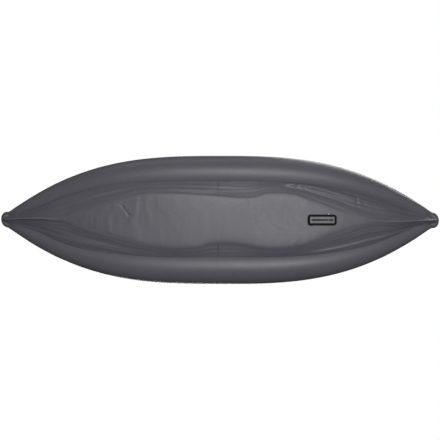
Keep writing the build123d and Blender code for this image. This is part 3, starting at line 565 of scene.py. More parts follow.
# Height of the bottom skin's underside. Flat under the floor, then a rounded shoulder and a straight
# slope out to the crease, with folds and wrinkles laid over it. Up is into the hull.
def skinHeight(x, y):
    ridge = curveThrough(bottom["ridge"], x)
    port = y >= ridge
    edgeY, edgeZ = creaseAt(x, port)
    out = np.abs(y - ridge)
    edge = np.where(port, edgeY - ridge, edgeY + ridge)
    flat = np.where(port, curveThrough(bottom["flatPort"], x), curveThrough(bottom["flatStarboard"], x))
    flat = np.maximum(flat, 0.004)
    keel = keelHeight(x)
    r = bottom["shoulder"] * ease(0.0, 0.05, flat) + 0.003
    start = ramp(-flat, r)
    share = (ramp(out - flat, r) - start) / (ramp(edge - flat, r) - start)
    across = np.clip((out - flat) / (edge - flat), 0, 1)
    height = keel + (edgeZ - hull["fabric"] - keel) * share
    height = height + bottom["crown"] * np.clip(out / flat, 0, 1) ** 4 * ease(0.02, 0.08, flat)
    far = np.abs(x)
    inValley = ease(0.0, 0.12, across) * ease(1.0, 0.92, across)
    onFlat = ease(1.0, 0.85, out / flat) * ease(0.02, 0.06, flat)
    fin = bell(x - finBox["place"], 0.16) * bell(y, 0.07)

    # groove where the skin tucks under the floor's edge, deeper to port
    tuckDepth = np.where(port, bottom["tuckPort"], bottom["tuckStarboard"])
    tuck = bell(out - flat - 0.010, 0.006) * tuckDepth * ease(0.95, 0.7, far)
    # hollow beside the waist of the flat
    waist = bell(x + 0.08, 0.14) * bell(across - 0.35, 0.3) * bottom["waist"]
    # long tension folds that run with the crease and gather at the tips
    lines = folds(x * 1.3 + 7.3, across * 3.6 + 0.4 * x, 11) - 0.4
    fine = noise(x * 2.2, across * 13.0 + x, 23) + 0.6 * noise(x * 5.0, across * 24.0 - x, 24)
    gather = ease(0.35, 1.0, far) * ease(1.55, 1.2, far)
    tension = inValley * (lines * (bottom["tension"] + bottom["tensionTips"] * gather)
                          + fine * (bottom["fine"] + bottom["fineTips"] * ease(0.3, 0.9, far)))
    # short wrinkles across the flat, strongest in the forward third
    bands = noise(x * 26.0 + 2.0 * noise(x * 3, y * 9, 5), y * 5.0, 31)
    bandsFine = noise(x * 55.0, y * 9.0 + x * 4, 37)
    forward = ease(0.30, 0.70, x) * ease(1.1, 0.9, x)
    strength = bottom["cross"] + bottom["crossForward"] * forward + bottom["crossAft"] * bell(x + 0.75, 0.25)
    cross = onFlat * (bands * strength + bandsFine * strength * 0.4)
    # slack of the panel near both ends of the flat
    slack = onFlat * bottom["slack"] * noise(x * 7.0, y * 16.0, 41) * ease(0.45, 0.8, far)
    # rolled fold along the port crease in the stern half, with two puckers
    band = ease(-0.40, -0.50, x) * ease(-1.22, -1.12, x) * port
    middle = 0.84 - 0.16 * ease(-0.55, -0.95, x)
    roll = band * bell((across - middle) / 0.20, 1.0) ** 2 * (bottom["roll"] - 0.004 * ease(-0.8, -1.1, x))
    rollGroove = band * bell(across - middle + 0.36, 0.09) * bottom["rollGroove"]
    gathers = sum(share * bell(x - place, width) for place, width, share in bottom["puckers"])
    puckers = band * bottom["pucker"] * gathers * bell(across - middle, 0.22)
    crinkle = noise(x * 24.0, across * 7.0, 47)
    puckers = puckers + band * bottom["puckerFine"] * crinkle * bell(across - middle, 0.3)
    # a second, lower roll along the starboard crease towards each end
    low = bell(across - 0.80 - 0.06 * np.sin(5 * x), 0.09) * ease(0.45, 0.8, far)
    low = low * ease(1.4, 1.15, far) * ~port * bottom["lowRoll"]
    # the kink forward of the middle
    creases = [share * pinch(x, y, a, b, width) for a, b, width, share in bottom["kinkLines"]]
    kink = sum(creases) * bottom["kink"]
    # the panel sinks between the tubes at the tips
    sink = bottom["sink"] * ease(1.12, 1.42, far) * np.sin(np.pi * across) ** 0.8
    # welds across the skin amidships
    weld = bell(x - bottom["weldPlace"], 0.004) * inValley * bottom["weld"]
    height = height + tuck + waist + kink + weld + sink + rollGroove - roll - low + puckers
    return height - (tension + cross + slack) * (1 - np.clip(fin, 0, 1))


# Painted shade on the skin: 1 along the weld grooves amidships, in the kink and along the crease where the
# skin meets the tubes
def skinPaintedShade(x, y):
    port = y >= 0
    edgeY = creaseAt(x, port)[0]
    flat = np.where(port, curveThrough(bottom["flatPort"], x), curveThrough(bottom["flatStarboard"], x))
    across = np.clip((np.abs(y) - flat) / (edgeY - flat), 0, 1)
    broken = 0.35 + 0.35 * (noise(x * 3, y * 60, 3) > 0)
    weld = bell(x - bottom["weldPlace"], 0.0045) * ease(0.02, 0.15, across) * broken
    kink = pinch(x, y, *bottom["kinkLines"][1][:2], 0.005) * 0.55
    # painted shade along the crease where the skin meets the tube
    paintedCreaseShade = bell(np.abs(y) - edgeY, 0.0035) * 0.5
    return np.clip(weld + kink + paintedCreaseShade, 0, 1)


finBox = {"place": (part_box("fin_box_frame")[0].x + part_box("fin_box_frame")[1].x) / 2}


# The skin is one sheet from crease to crease: its underside, then back over its upper face
def makeBottomSkin():
    columns = bottom["columns"]
    x = np.linspace(-hull["tubeEnd"], hull["tubeEnd"], bottom["rows"])[:, None]
    q = np.linspace(-1, 1, columns)[None, :]
    portY, starboardY = creaseAt(x, True)[0], creaseAt(x, False)[0]
    y = np.where(q >= 0, q * portY, q * starboardY)
    z = skinHeight(x + 0 * y, y)
    under = np.stack([x + 0 * y, y, z], -1)
    over = under + np.array([0, 0, hull["fabric"]])
    points = np.concatenate([under, over[:, ::-1]], 1)
    # painted shade along the welds, the kink and the crease, carried in the mark attribute
    tone = skinPaintedShade(x + 0 * y, y)
    piece = surface("bottom_skin_panel", points, ends="sheet", marksAndPaintedLight=np.concatenate([tone, tone * 0], 1))
    finish(piece, "hull", "coatedFabric", "bottom_skin")


tube = {"rows": 380, "columns": 108, "tape": 0.0008}


# Circle of radius r round the tube's centre line, angle a from its lowest line towards the outside.
# Long soft puckers stand out from it near the tips, and a welded tape along its upper outer side.
def tubePoint(x, a, sign):
    far = np.abs(x)
    pucker = (folds(x * 3.2 + 40, a * 3.5, 51 if sign > 0 else 52) * 0.0022 * ease(0.85, 1.35, far)
              + (noise(x * 7.0, a * 8.0, 53) + 1) * 0.0003 * ease(0.5, 1.2, far))
    tape = tube["tape"] * ease(0.10, 0.08, np.abs(a - 2.15))
    r = tubeRadius(x) + (pucker + tape) * ease(hull["tubeEnd"], hull["tubeEnd"] - 0.08, far)
    y, z = tubeSection(x, a, r)
    return np.stack([x + 0 * a, sign * y, z], -1)


def makeTube(name, sign):
    x = np.linspace(-hull["tubeEnd"], hull["tubeEnd"], tube["rows"])[:, None]
    a = np.linspace(-np.pi, np.pi, tube["columns"], endpoint=False)[None, :]
    tape = ease(0.115, 0.10, np.abs(a - 2.15)) * ease(0.085, 0.095, np.abs(a - 2.15)) + 0 * x
    piece = surface(name + "_tube", tubePoint(x, a, sign), ends="pole", marksAndPaintedLight=tape * 0.8)
    finish(piece, "hull", "coatedFabric", name + "_tube_sleeve")


# The bladder inside: the same section a little smaller, with rounded ends
def makeBladder(name, sign):
    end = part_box(name + "_air_chamber")[1].x
    t = np.linspace(-1, 1, 140)[:, None]
    x = end * np.sin(t * np.pi / 2)
    a = np.linspace(-np.pi, np.pi, 56, endpoint=False)[None, :]
    closing = np.clip(1 - np.abs(x / end) ** 60, 0.0, 1.0) ** 0.5
    r = (tubeRadius(x) - hull["bladderGap"]) * (0.02 + 0.98 * closing)
    y, z = tubeSection(x, a, r)
    piece = surface(name + "_bladder", np.stack([x + 0 * a, sign * y, z], -1), ends="pole")
    finish(piece, "hull", "chamberFilm", name + "_air_chamber")


nose = {"rows": 70, "columns": 120, "start": 1.498, "skin": 0.0010, "bead": 0.0034,
        "drift": {"bow": 0.007, "stern": -0.005}}


# Nose: the section at the tubes' ends carried on past them and drawn in towards its middle by
# sqrt(1 - s^2.2); the groove between the tubes, with a bead along each side, closes to a point
# before the end
def makeNose(name, end):
    t = np.linspace(0, 1, nose["rows"])[:, None]
    x = nose["start"] + (hull["halfLength"] - nose["start"]) * np.sin(t * np.pi / 2)
    a = np.linspace(-np.pi, np.pi, nose["columns"], endpoint=False)[None, :]
    held = np.minimum(x, hull["tubeEnd"] - 0.004) + 0 * a
    port = a >= 0
    s = np.clip((x - held) / (hull["halfLength"] - hull["tubeEnd"] + 0.004), 0, 1)
    size = np.sqrt(np.clip(1 - s ** 2.2, 0.0025, 1))
    # round the section by angle: the underside for |a| < 90 degrees, the top for the rest
    low = np.abs(a) <= np.pi / 2
    q = np.where(low, np.abs(a) / (np.pi / 2), 2 - np.abs(a) / (np.pi / 2))
    breadth = halfBreadth(held) * np.sin(q * np.pi / 2)
    y0, z0 = tubeCentre(held)
    r = tubeRadius(held)
    round_ = r * np.sqrt(1 - np.clip((breadth - y0) / r, -1, 1) ** 2)
    edgeY, edgeZ = creaseAt(end * held, port)
    groove = edgeY * np.sqrt(np.clip(1 - (s / 0.62) ** 2, 0, 1))
    ridge = keelHeight(held)
    skin = ridge + (edgeZ - ridge) * np.clip(breadth / np.maximum(groove, 1e-4), 0, 1) ** 0.65
    under = np.where(breadth < y0, z0 - r, z0 - round_)
    bottomZ = np.where(breadth < groove, np.minimum(skin, under + 0.004), under)
    topZ = np.where(breadth < y0, deckHeight(held, breadth) + 0.0010, z0 + round_)
    z = np.where(low, bottomZ, topZ)
    z = z + np.where(low, (keelHeight(x) - ridge) * 0.6, tubeTop(x) - tubeTop(held))
    middle = (keelHeight(x) + tubeTop(x)) / 2 + 0.006
    bead = bell(breadth - groove, 0.0038) * low * ease(0.0, 0.25, t) * ease(0.68, 0.60, s)
    lift = (0.0006 + nose["skin"] * ease(0.0, 0.6, t)) + nose["bead"] * bead
    out = unit(np.stack([breadth, z - middle], -1) + 1e-9)
    y = np.where(port, 1, -1) * (breadth + out[..., 0] * lift) * size
    z = middle + (z - middle + out[..., 1] * lift) * size
    drift = nose["drift"][name] * ease(nose["start"], hull["halfLength"], x)
    points = np.stack([end * x + 0 * y, y + drift, z], -1)
    # the bead mask paints each bead lighter: a painted highlight along it
    piece = surface(name + "_nose", points, ends="pole", marksAndPaintedLight=bead)
    finish(piece, "hull", "noseRubber", name + "_nose_cap")


keelStrip = {"rows": 130, "columns": 26, "half": 0.006, "spread": 0.10, "thin": 0.0006, "bead": 0.0020,
             "edge": 0.0002, "fade": 0.16}


# Strip along the keel's ridge: the skin's underside carried down by its thickness, feathered at its edges,
# with a painted highlight along its crest
def makeKeelStrip(name, end):
    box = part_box(name + "_keel_strip")
    inner, outer = min(abs(box[0].x), abs(box[1].x)), max(abs(box[0].x), abs(box[1].x))
    x = np.linspace(outer, inner, keelStrip["rows"])[:, None]
    half = keelStrip["half"] + keelStrip["spread"] * creaseAt(end * x, True)[0]
    q = np.linspace(-1, 1, keelStrip["columns"])[None, :]
    y = curveThrough(bottom["ridge"], end * x) + half * q
    z = skinHeight(end * x + 0 * y, y) - keelStrip["edge"]
    fade = ease(x.min(), x.min() + keelStrip["fade"], x)
    bead = keelStrip["thin"] * ease(1.0, 0.86, np.abs(q)) + keelStrip["bead"] * bell(q, 0.4)
    thick = bead * fade + keelStrip["edge"]
    # painted highlight along the strip's crest, through the mark attribute
    paintedHighlight = bell(q, 0.30) * 0.35 * fade
    under = np.stack([end * x + 0 * y, y, z - thick], -1)
    over = np.stack([end * x + 0 * y, y, z], -1)
    piece = surface(name + "_keel_rubber", np.concatenate([under, over[:, ::-1]], 1), ends="sheet",
                    marksAndPaintedLight=np.concatenate([paintedHighlight, 0 * paintedHighlight], 1))
    finish(piece, "hull", "noseRubber", name + "_keel_strip")


makeBottomSkin()
for name, sign in sides.items():
    makeTube(name, sign)
    makeBladder(name, sign)
for name, end in ends.items():
    makeNose(name, end)
    makeKeelStrip(name, end)
print("hull made")


airFloor = {"rows": 360, "columns": 120, "half": 0.180, "reach": 1.064, "square": 0.30, "squareUp": 0.42,
            "rib": 0.0009, "ribPitch": 0.030, "squash": 0.88, "edge": 0.036,
            "end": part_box("floor_air_chamber")[1].x,
            "valve": (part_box("floor_valve_body")[0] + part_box("floor_valve_body")[1]) / 2}


# half-width: half (1 - s^5)^2.2 less the gap to the skin's bend, never under 12 mm
def floorHalf(x):
    s = np.minimum(np.abs(x) / airFloor["reach"], 1.0)
    return np.maximum(airFloor["half"] * (1 - s ** 5) ** 2.2 - 0.004, 0.012)


# Drop-stitch floor: flat faces, rounded sides, and shallow rows of dimples on top
def makeFloor():
    x = np.linspace(-airFloor["end"], airFloor["end"], airFloor["rows"])[:, None]
    a = np.linspace(0, 2 * np.pi, airFloor["columns"], endpoint=False)[None, :]
    halfHigh = hull["floorThickness"] / 2
    half = floorHalf(x)
    corner = np.minimum(airFloor["edge"], half)
    # straight faces between the two rounded sides: the loop goes round by length
    c, s = np.cos(a), np.sin(a)
    y = (half - corner) * np.sign(c) * np.abs(c) ** airFloor["square"] + corner * c
    z = halfHigh * np.sign(s) * np.abs(s) ** airFloor["squareUp"]
    middle = keelHeight(x) + hull["fabric"] + hull["gap"] + halfHigh
    top = ease(0.75, 0.98, z / halfHigh)
    valve = airFloor["valve"]
    clear = ease(0.03, 0.05, np.hypot(x - valve.x, y - valve.y))
    wave = (1 - np.abs(np.sin(y * np.pi / airFloor["ribPitch"]))) ** 2
    rib = airFloor["rib"] * wave * ease(0.03, 0.055, half - np.abs(y))
    z = z - top * clear * rib
    z = np.where(z < 0, z * airFloor["squash"], z)  # clear of the skin's wrinkles
    points = np.stack([x + 0 * y, y, middle + z], -1)
    side = ease(0.70, 0.5, np.abs(z) / halfHigh) + 0 * x
    piece = surface("air_floor", points, ends="pole", marksAndPaintedLight=side)
    finish(piece, "hull", "floorFabric", "floor_air_chamber")


deck = {"rows": 110, "columns": 90, "wrap": 0.72, "wall": 0.0010, "seat": 0.0012, "cutWidth": 0.46,
        "cutArea": 0.148, "stitch": (0.0055, 0.0011), "pitch": 0.0075, "stitchInsets": (0.024, 0.018),
        "piping": 0.0048, "pipingLift": 0.0042}


# Deck: crowned between the tubes' top lines, then down the tubes' outer sides, with a hem and slack folds
def deckSurface(x, q):
    y0, z0 = tubeCentre(x)
    r = tubeRadius(x) + deck["seat"]
    angle = np.clip(np.abs(q) - 1, 0, None)
    y = np.where(np.abs(q) < 1, q * y0, np.sign(q) * (y0 + r * np.sin(angle)))
    z = np.where(np.abs(q) < 1, deckHeight(x, np.clip(q, -1, 1) * y0), z0 + r * np.cos(angle) + hull["gap"])
    return y, z


def makeDeck(name, end):
    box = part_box(name + "_deck")
    first, last = min(abs(box[0].x), abs(box[1].x)), max(abs(box[0].x), abs(box[1].x))
    x = np.linspace(first, last, deck["rows"])[:, None]
    wrap = 1 + deck["wrap"]
    q = np.linspace(-wrap, wrap, deck["columns"])[None, :]
    y, z = deckSurface(x, q)
    inner = ease(0.96, 0.6, np.abs(q))
    hem = 0.0008 * ease(first + 0.030, first + 0.026, x) + 0.0007 * ease(wrap - 0.13, wrap - 0.10, np.abs(q))
    opening = ease(first + 0.20, first, x)
    sag = inner * (0.0016 * noise(x * 9, q * 2.2, 61) + 0.0010 * folds(x * 3, q * 5, 63))
    sag = sag * ease(first, first + 0.05, x)
    z = z + hem - sag - 0.0006 * inner * opening
    over = np.stack([end * x + 0 * y, y, z + deck["wall"]], -1)
    under = np.stack([end * x + 0 * y, y, z], -1)
    tone = np.maximum(bell(x - first - 0.030, 0.002), bell(np.abs(q) - wrap + 0.13, 0.02)) + 0 * y
    piece = surface(name + "_deck_sheet", np.concatenate([over, under[:, ::-1]], 1), ends="sheet",
                    marksAndPaintedLight=np.concatenate([tone, 0 * tone], 1))
    finish(piece, "hull", "deckFabric", name + "_deck")
    return first


# Thin stitch: a flattened bead of six sides, (length, width) along and across
def stitches(places, along, up, length, width):
    ring = np.linspace(0, 2 * np.pi, 6, endpoint=False)
    t = np.array([-0.5, -0.3, 0.3, 0.5])
    fat = np.array([0.25, 1.0, 1.0, 0.25])
    side = unit(np.cross(along, up))
    section = (np.cos(ring)[:, None] * side[:, None, None, :] + np.sin(ring)[:, None] * up[:, None, None, :])
    points = (places[:, None, None, :] + t[:, None, None] * length * along[:, None, None, :]
              + fat[:, None, None] * width / 2 * section)
    count = len(places)
    verts = points.reshape(-1, 3)
    i, j = np.meshgrid(np.arange(3), np.arange(6), indexing="ij")
    k = (j + 1) % 6
    quads = np.stack([i * 6 + j, i * 6 + k, (i + 1) * 6 + k, (i + 1) * 6 + j], -1).reshape(-1, 4)
    starts = np.arange(count) * 24
    faces = (quads[None] + starts[:, None, None]).reshape(-1, 4).tolist()
    caps = np.array([[5, 4, 3, 2, 1, 0], [18, 19, 20, 21, 22, 23]])
    faces += (caps[None] + starts[:, None, None]).reshape(-1, 6).tolist()
    return verts, faces


# Evenly spaced places on a line, with their directions
def spaced(line, pitch):
    steps = np.linalg.norm(np.diff(line, axis=0), axis=1)
    run = np.concatenate([[0], np.cumsum(steps)])
    at = np.arange(pitch / 2, run[-1], pitch)
    places = np.stack([np.interp(at, run, line[:, k]) for k in range(3)], -1)
    ahead = np.stack([np.interp(at + pitch * 0.2, run, line[:, k]) for k in range(3)], -1)
    behind = np.stack([np.interp(at - pitch * 0.2, run, line[:, k]) for k in range(3)], -1)
    return places, unit(ahead - behind)


# Two rows of stitches along the deck's open edge, and the piping rolled in it
def makeDeckTrim(name, end, first):
    q = np.linspace(-1.6, 1.6, 200)
    rows = []
    for inset in deck["stitchInsets"]:
        x = np.full_like(q, first + inset)
        y, z = deckSurface(x, q)
        line = np.stack([end * x, y, z + deck["wall"] + 0.0010], -1)
        places, along = spaced(line, deck["pitch"])
        up = np.broadcast_to(np.array([0.0, 0.0, 1.0]), along.shape)
        up = unit(up - along * (along * up).sum(-1, keepdims=True))
        rows.append(stitches(places, along, up, *deck["stitch"]))
    finish(joined(name + "_deck_stitching", rows), "hull", "thread")
    q = np.linspace(-1.0, 1.0, 120)
    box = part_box(name + "_deck_piping")
    x = np.full_like(q, (abs(box[0].x) + abs(box[1].x)) / 2)
    y, z = deckSurface(x, q)
    path = np.stack([end * x, y, z + deck["wall"] + deck["pipingLift"]], -1)
    tangent = unit(np.gradient(path, axis=0))
    side = np.broadcast_to(np.array([1.0, 0.0, 0.0]), tangent.shape)
    up = unit(np.cross(tangent, side))
    up = up * np.sign(up[:, 2:])
    # round above, flat and spread below where it is sewn on
    section = roundedSection(deck["piping"], deck["piping"], 20, 2.0)
    sewn = section[:, 1] < -0.003
    section = np.stack([section[:, 0] * (1 + 0.35 * sewn), np.where(sewn, -0.0046, section[:, 1])], -1)
    closing = np.minimum(1, np.sqrt(np.clip(1 - np.abs(np.linspace(-1, 1, 120)) ** 40, 0.02, 1)))
    points = carried(path, side, up, section)
    points = path[:, None] + (points - path[:, None]) * closing[:, None, None]
    finish(surface(name + "_deck_edge", points, ends="pole"), "hull", "rubber", name + "_deck_piping")


makeFloor()
for name, end in ends.items():
    makeDeckTrim(name, end, makeDeck(name, end))
print("floor and decks made")


handle = {"span": 0.090, "reach": 0.058, "wide": 0.020, "thick": 0.0032, "bend": 0.020,
          "eye": 0.0062, "pin": 0.0031, "gripLength": 0.066, "gripWide": 0.0128, "gripHigh": 0.0088}


# Handle's own directions: along the pins, away from them, and out from the surface
def handleFrame(name):
    joint = joints[name + "_handle_swing"]
    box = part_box(name + "_handle_grip")
    pins = np.array(joint["pos_m"])
    along = unit(np.array(joint["axis"]))
    middle = np.array((box[0] + box[1]) / 2)
    away = middle - pins
    away = unit(away - along * (away @ along))
    out = np.cross(along, away)
    return pins, along, away, out if out[2] > 0 else -out


def makeHandle(name):
    pins, along, away, out = handleFrame(name)
    half, wide, thick = handle["span"] / 2, handle["wide"] / 2, handle["thick"] / 2
    bend, top = handle["bend"], handle["reach"] - wide
    turn = np.linspace(0, np.pi / 2, 14)
    leg = np.linspace(0.003, top - bend, 10)
    corner = np.stack([-half + bend * (1 - np.cos(turn)), top - bend + bend * np.sin(turn)], -1)
    left = np.concatenate([np.stack([np.full(10, -half), leg], -1), corner[1:]])
    bridge = np.stack([np.linspace(-half + bend, half - bend, 12)[1:-1], np.full(10, top)], -1)
    flat = np.concatenate([left, bridge, (left * [-1, 1])[::-1]])
    bow = 0.0030 * np.sin(np.pi * np.clip(flat[:, 1] / top, 0, 1))
    path = pins + flat[:, :1] * along + flat[:, 1:] * away + bow[:, None] * out
    tangent = unit(np.gradient(path, axis=0))
    up = np.broadcast_to(out, tangent.shape)
    side = unit(np.cross(tangent, up))
    section = roundedSection(wide, thick, 28, 6.0)
    strap = surface(name + "_handle_webbing", carried(path, side, up, section), ends="pole")
    finish(strap, name + "_handle", "webbing", name + "_handle_strap")
    # eyes: the webbing's end wrapped round each pin, a ring of square section
    turn = np.linspace(0, 2 * np.pi, 36, endpoint=False)
    outer, inner = handle["eye"], handle["pin"]
    profile = roundedSection((outer - inner) / 2, wide, 20, 7.0)
    radius, shift = (outer + inner) / 2 + profile[:, 0], profile[:, 1]
    for label, place in (("a", -half), ("b", half)):
        around = np.cos(turn)[:, None, None] * away + np.sin(turn)[:, None, None] * out
        ring = pins + (place + shift)[None, :, None] * along + radius[None, :, None] * around
        points = np.concatenate([ring, ring[:1]])
        eye = surface(name + "_handle_eye_" + label, points)
        finish(eye, name + "_handle", "webbing")
    # grip: an ellipse along the bridge, with finger waves and a collar at each end
    t = np.linspace(-1, 1, 90)
    length = handle["gripLength"] / 2
    waves = 1 + 0.045 * np.cos(t * length * 2 * np.pi / 0.0165)
    collar = 0.16 * bell(np.abs(t) - 0.93, 0.05)
    closing = np.sqrt(np.clip(1 - np.abs(t) ** 24, 0.05, 1))
    size = (waves + collar) * closing
    section = roundedSection(handle["gripWide"], handle["gripHigh"], 40, 2.3)
    middle = pins + top * away
    path = middle + (t * length)[:, None] * along
    points = path[:, None] + size[:, None, None] * (section[None, :, :1] * away + section[None, :, 1:] * out)
    grip = surface(name + "_handle_rubber", points, ends="pole")
    finish(grip, name + "_handle", "rubber", name + "_handle_grip")


for name in [*ends, *sides]:
    makeHandle(name)
print("handles made")


# Cloth under pressure: remesh, blow up, cap how far a point may move
def inflate(piece, values):
    bpy.context.view_layer.objects.active = piece
    piece.select_set(True)
    remesh = piece.modifiers.new("remesh", "REMESH")
    remesh.mode, remesh.voxel_size = "VOXEL", values["voxel"]
    bpy.ops.object.modifier_apply(modifier=remesh.name)
    before = meshPoints(piece)
    cloth = piece.modifiers.new("cloth", "CLOTH")
    cloth.settings.use_pressure = True
    cloth.settings.uniform_pressure_force = values["pressure"]
    cloth.settings.effector_weights.gravity = 0.0
    cloth.settings.quality = 4
    cloth.settings.tension_stiffness = 12
    cloth.settings.compression_stiffness = 12
    cloth.settings.bending_stiffness = 0.6
    for step in range(1, 21):
        bpy.context.scene.frame_set(step)
    bpy.ops.object.modifier_apply(modifier=cloth.name)
    bpy.context.scene.frame_set(1)
    after = meshPoints(piece)
    move = after - before
    far = np.linalg.norm(move, axis=1, keepdims=True)
    move = move * np.minimum(1, values["cap"] / np.maximum(far, 1e-9))
    setPoints(piece, before + move)
    piece.select_set(False)


def meshPoints(piece):
    flat = np.zeros(len(piece.data.vertices) * 3)
    piece.data.vertices.foreach_get("co", flat)
    return flat.reshape(-1, 3)


def setPoints(piece, points):
    piece.data.vertices.foreach_set("co", np.asarray(points, np.float32).reshape(-1))
    piece.data.update()


# Pad in its own place: x across the length, y across the width, z through the thickness.
# Superellipse plan, edges rounded by (1 - r^n)^(1/n)
def padShell(name, long, wide, thick, corner):
    rows, columns = 44, 128
    plan = roundedSection(long / 2, wide / 2, columns, 2.0 / corner)
    t = np.linspace(-np.pi / 2, np.pi / 2, rows)
    inset = np.sign(np.cos(t)) * np.abs(np.cos(t)) ** 0.40
    high = thick / 2 * np.sign(np.sin(t)) * np.abs(np.sin(t)) ** 0.75
    points = np.stack([inset[:, None] * plan[None, :, 0], inset[:, None] * plan[None, :, 1],
                       np.broadcast_to(high[:, None], (rows, columns))], -1)
    return surface(name, points, ends="pole")


seat = {"voxel": 0.006, "pressure": 4.0, "cap": 0.009, "shrink": 0.009, "channel": 0.0048, "piping": 0.0036,
        "long": 0.370, "wide": 0.320, "thick": 0.054, "corner": 0.42}
back = {"voxel": 0.006, "pressure": 4.0, "cap": 0.008, "shrink": 0.009, "channel": 0.0042, "piping": 0.0034,
        "long": 0.350, "wide": 0.320, "thick": 0.045, "corner": 0.46}


# sewn channels: a bell across each seam line and another round a border, on both faces
def sewChannels(points, values, lines):
    long, wide, thick = values["long"], values["wide"], values["thick"]
    u, v, w = points.T
    depth = np.zeros(len(points))
    for place in lines:
        depth = np.maximum(depth, bell(u - place, 0.007))
    border = np.maximum(np.abs(u) / (long / 2), np.abs(v) / (wide / 2))
    depth = np.maximum(depth * ease(0.86, 0.80, border), bell((border - 0.83) * wide / 2, 0.0055))
    puff = 1 + 0.25 * noise(u * 40, v * 40, 71)
    push = values["channel"] * depth * np.sign(w) * ease(0.25, 0.6, np.abs(w) / (thick / 2)) * puff
    return np.stack([u, v, w - push], -1)


def makePad(name, values, lines, place, body, node):
    shrink = values["shrink"]
    piece = padShell(name, values["long"] - 2 * shrink, values["wide"] - 2 * shrink, values["thick"] - shrink,
                     values["corner"])
    inflate(piece, values)
    points = meshPoints(piece)
    limit = np.array([values["long"] / 2, values["wide"] / 2, values["thick"] / 2])
    points[:, :2] *= (limit[:2] - 0.002) / np.abs(points[:, :2]).max(0)
    points[:, 2] *= min(1.0, limit[2] / np.abs(points[:, 2]).max())
    wrinkle = noise(points[:, 0] * 45, points[:, 1] * 45, 73) * 0.0006
    points[:, 2] += wrinkle * np.sign(points[:, 2])
    points = sewChannels(points, values, lines)
    setPoints(piece, place(points))
    smooth = piece.modifiers.new("smooth", "SUBSURF")
    smooth.levels = smooth.render_levels = 1
    finish(piece, body, "seatFabric", node)
    # two rows of piping, each on the pad's own outline at its level: farthest point by polar angle
    angle = np.linspace(-np.pi, np.pi, 180, endpoint=False)
    for label, level in (("upper", 0.30), ("lower", -0.30)):
        near = points[np.abs(points[:, 2] - level * values["thick"]) < 0.006]
        order = np.argsort(np.arctan2(near[:, 1], near[:, 0]))
        polar = np.arctan2(near[order, 1], near[order, 0])
        reach = np.interp(angle, polar, np.hypot(near[order, 0], near[order, 1]), period=2 * np.pi)
        spectrum = np.fft.rfft(reach)
        spectrum[30:] = 0
        reach = np.fft.irfft(spectrum, 180) + 0.0008
        height = np.full(180, level * values["thick"])
        path = np.stack([reach * np.cos(angle), reach * np.sin(angle), height], -1)
        closed = np.concatenate([path, path[:1]])
        tangent = unit(np.roll(path, -1, 0) - np.roll(path, 1, 0))
        tangent = np.concatenate([tangent, tangent[:1]])
        up = np.broadcast_to(np.array([0.0, 0.0, 1.0]), tangent.shape)
        side = np.cross(tangent, up)
        section = roundedSection(values["piping"], values["piping"], 14, 2.0)
        tubePoints = carried(closed, side, up, section)
        flatPoints = place(tubePoints.reshape(-1, 3)).reshape(tubePoints.shape)
        finish(surface(name + "_piping_" + label, flatPoints), body, "rubber")


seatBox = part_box("seat_cushion")
seatMiddle = np.array((seatBox[0] + seatBox[1]) / 2)
makePad("seat_cushion_pad", seat, (-0.085, 0.0, 0.085), lambda p: p + seatMiddle, "hull", "seat_cushion")

hinge = np.array(joints["seat_recline"]["pos_m"])
recline = math.radians(12.0)
backUp = np.array([-math.sin(recline), 0.0, math.cos(recline)])
backOut = np.array([math.cos(recline), 0.0, math.sin(recline)])
backAcross = np.array([0.0, 1.0, 0.0])
backMiddle = hinge + backUp * (0.004 + back["long"] / 2) - backOut * (0.002 + back["thick"] / 2)


def placeBack(p):
    return backMiddle + p[:, :1] * backUp + p[:, 1:2] * backAcross + p[:, 2:] * backOut


makePad("seat_back_pad", back, (-0.080, 0.0, 0.080), placeBack, "seat_back", "seat_back")
print("seat made")


# A node's points at one of the seat's four corners
def cornerPoints(node, sign, forward):
    points = meshPoints(frame["nodes"][node])
    return points[(points[:, 1] * sign > 0) & ((points[:, 0] > 0) == forward)]


# Webbing from a snap hook to the backrest's side: a flat strap with a turned-back end, a little slack
straps = {"wide": 0.0125, "thick": 0.0009, "sag": 0.004}


def makeStrap(name, sign, node, forward):
    hook = cornerPoints("snap_hooks", sign, forward).mean(0)
    through = cornerPoints("strap_adjusters", sign, forward).mean(0)
    cad = meshPoints(frame["nodes"][node])
    cad = cad[cad[:, 1] * sign > 0]
    start = cad[np.argsort(((cad - hook) ** 2).sum(1))[:4]].mean(0)
    finishAt = cad[np.argsort(-((cad - hook) ** 2).sum(1))[:4]].mean(0)
    along = unit(finishAt - start)
    out = np.array([0.0, sign, 0.0])
    up = unit(out - along * (along @ out))
    side = np.cross(along, up)
    t = np.linspace(0, 1, 90)
    sag = straps["sag"] * np.sin(np.pi * t) ** 2 * ease(0.25, 0.5, t)
    path = start + t[:, None] * (finishAt - start) - sag[:, None] * up
    section = roundedSection(straps["wide"], straps["thick"], 24, 8.0)
    across, ups = np.broadcast_to(side, path.shape), np.broadcast_to(up, path.shape)
    strap = surface(name, carried(path, across, ups, section), ends="pole")
    strap.data.materials.append(finishes["webbing"])
    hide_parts(node)
    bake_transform(strap)
    # the strap's tail, doubled back through the adjuster and hook
    t = np.linspace(0, 1, 40)
    reach = through + along * 0.030 - start
    fold = path[0] - along * 0.004
    lift = 0.0030 * np.sin(np.pi * t) + 0.0022
    tail = fold + t[:, None] * (reach + along * 0.004) + lift[:, None] * up * -1
    across, ups = np.broadcast_to(side, tail.shape), np.broadcast_to(up, tail.shape)
    finish(surface(name + "_tail", carried(tail, across, ups, section), ends="pole"), "hull", "webbing")


for label, sign in sides.items():
    makeStrap("front_strap_" + label, sign, "front_seat_straps", True)
    makeStrap("rear_strap_" + label, sign, "rear_seat_straps", False)


# D-ring patches: discs that follow the tube, thinning at the rim, with a stitched keeper over the bar
patch = {"radius": 0.034, "thick": 0.0018, "angle": 60.0}
keeper = {"half": 0.0062, "thick": 0.0011, "reach": 0.0072, "high": 0.0130, "lift": 0.0016}


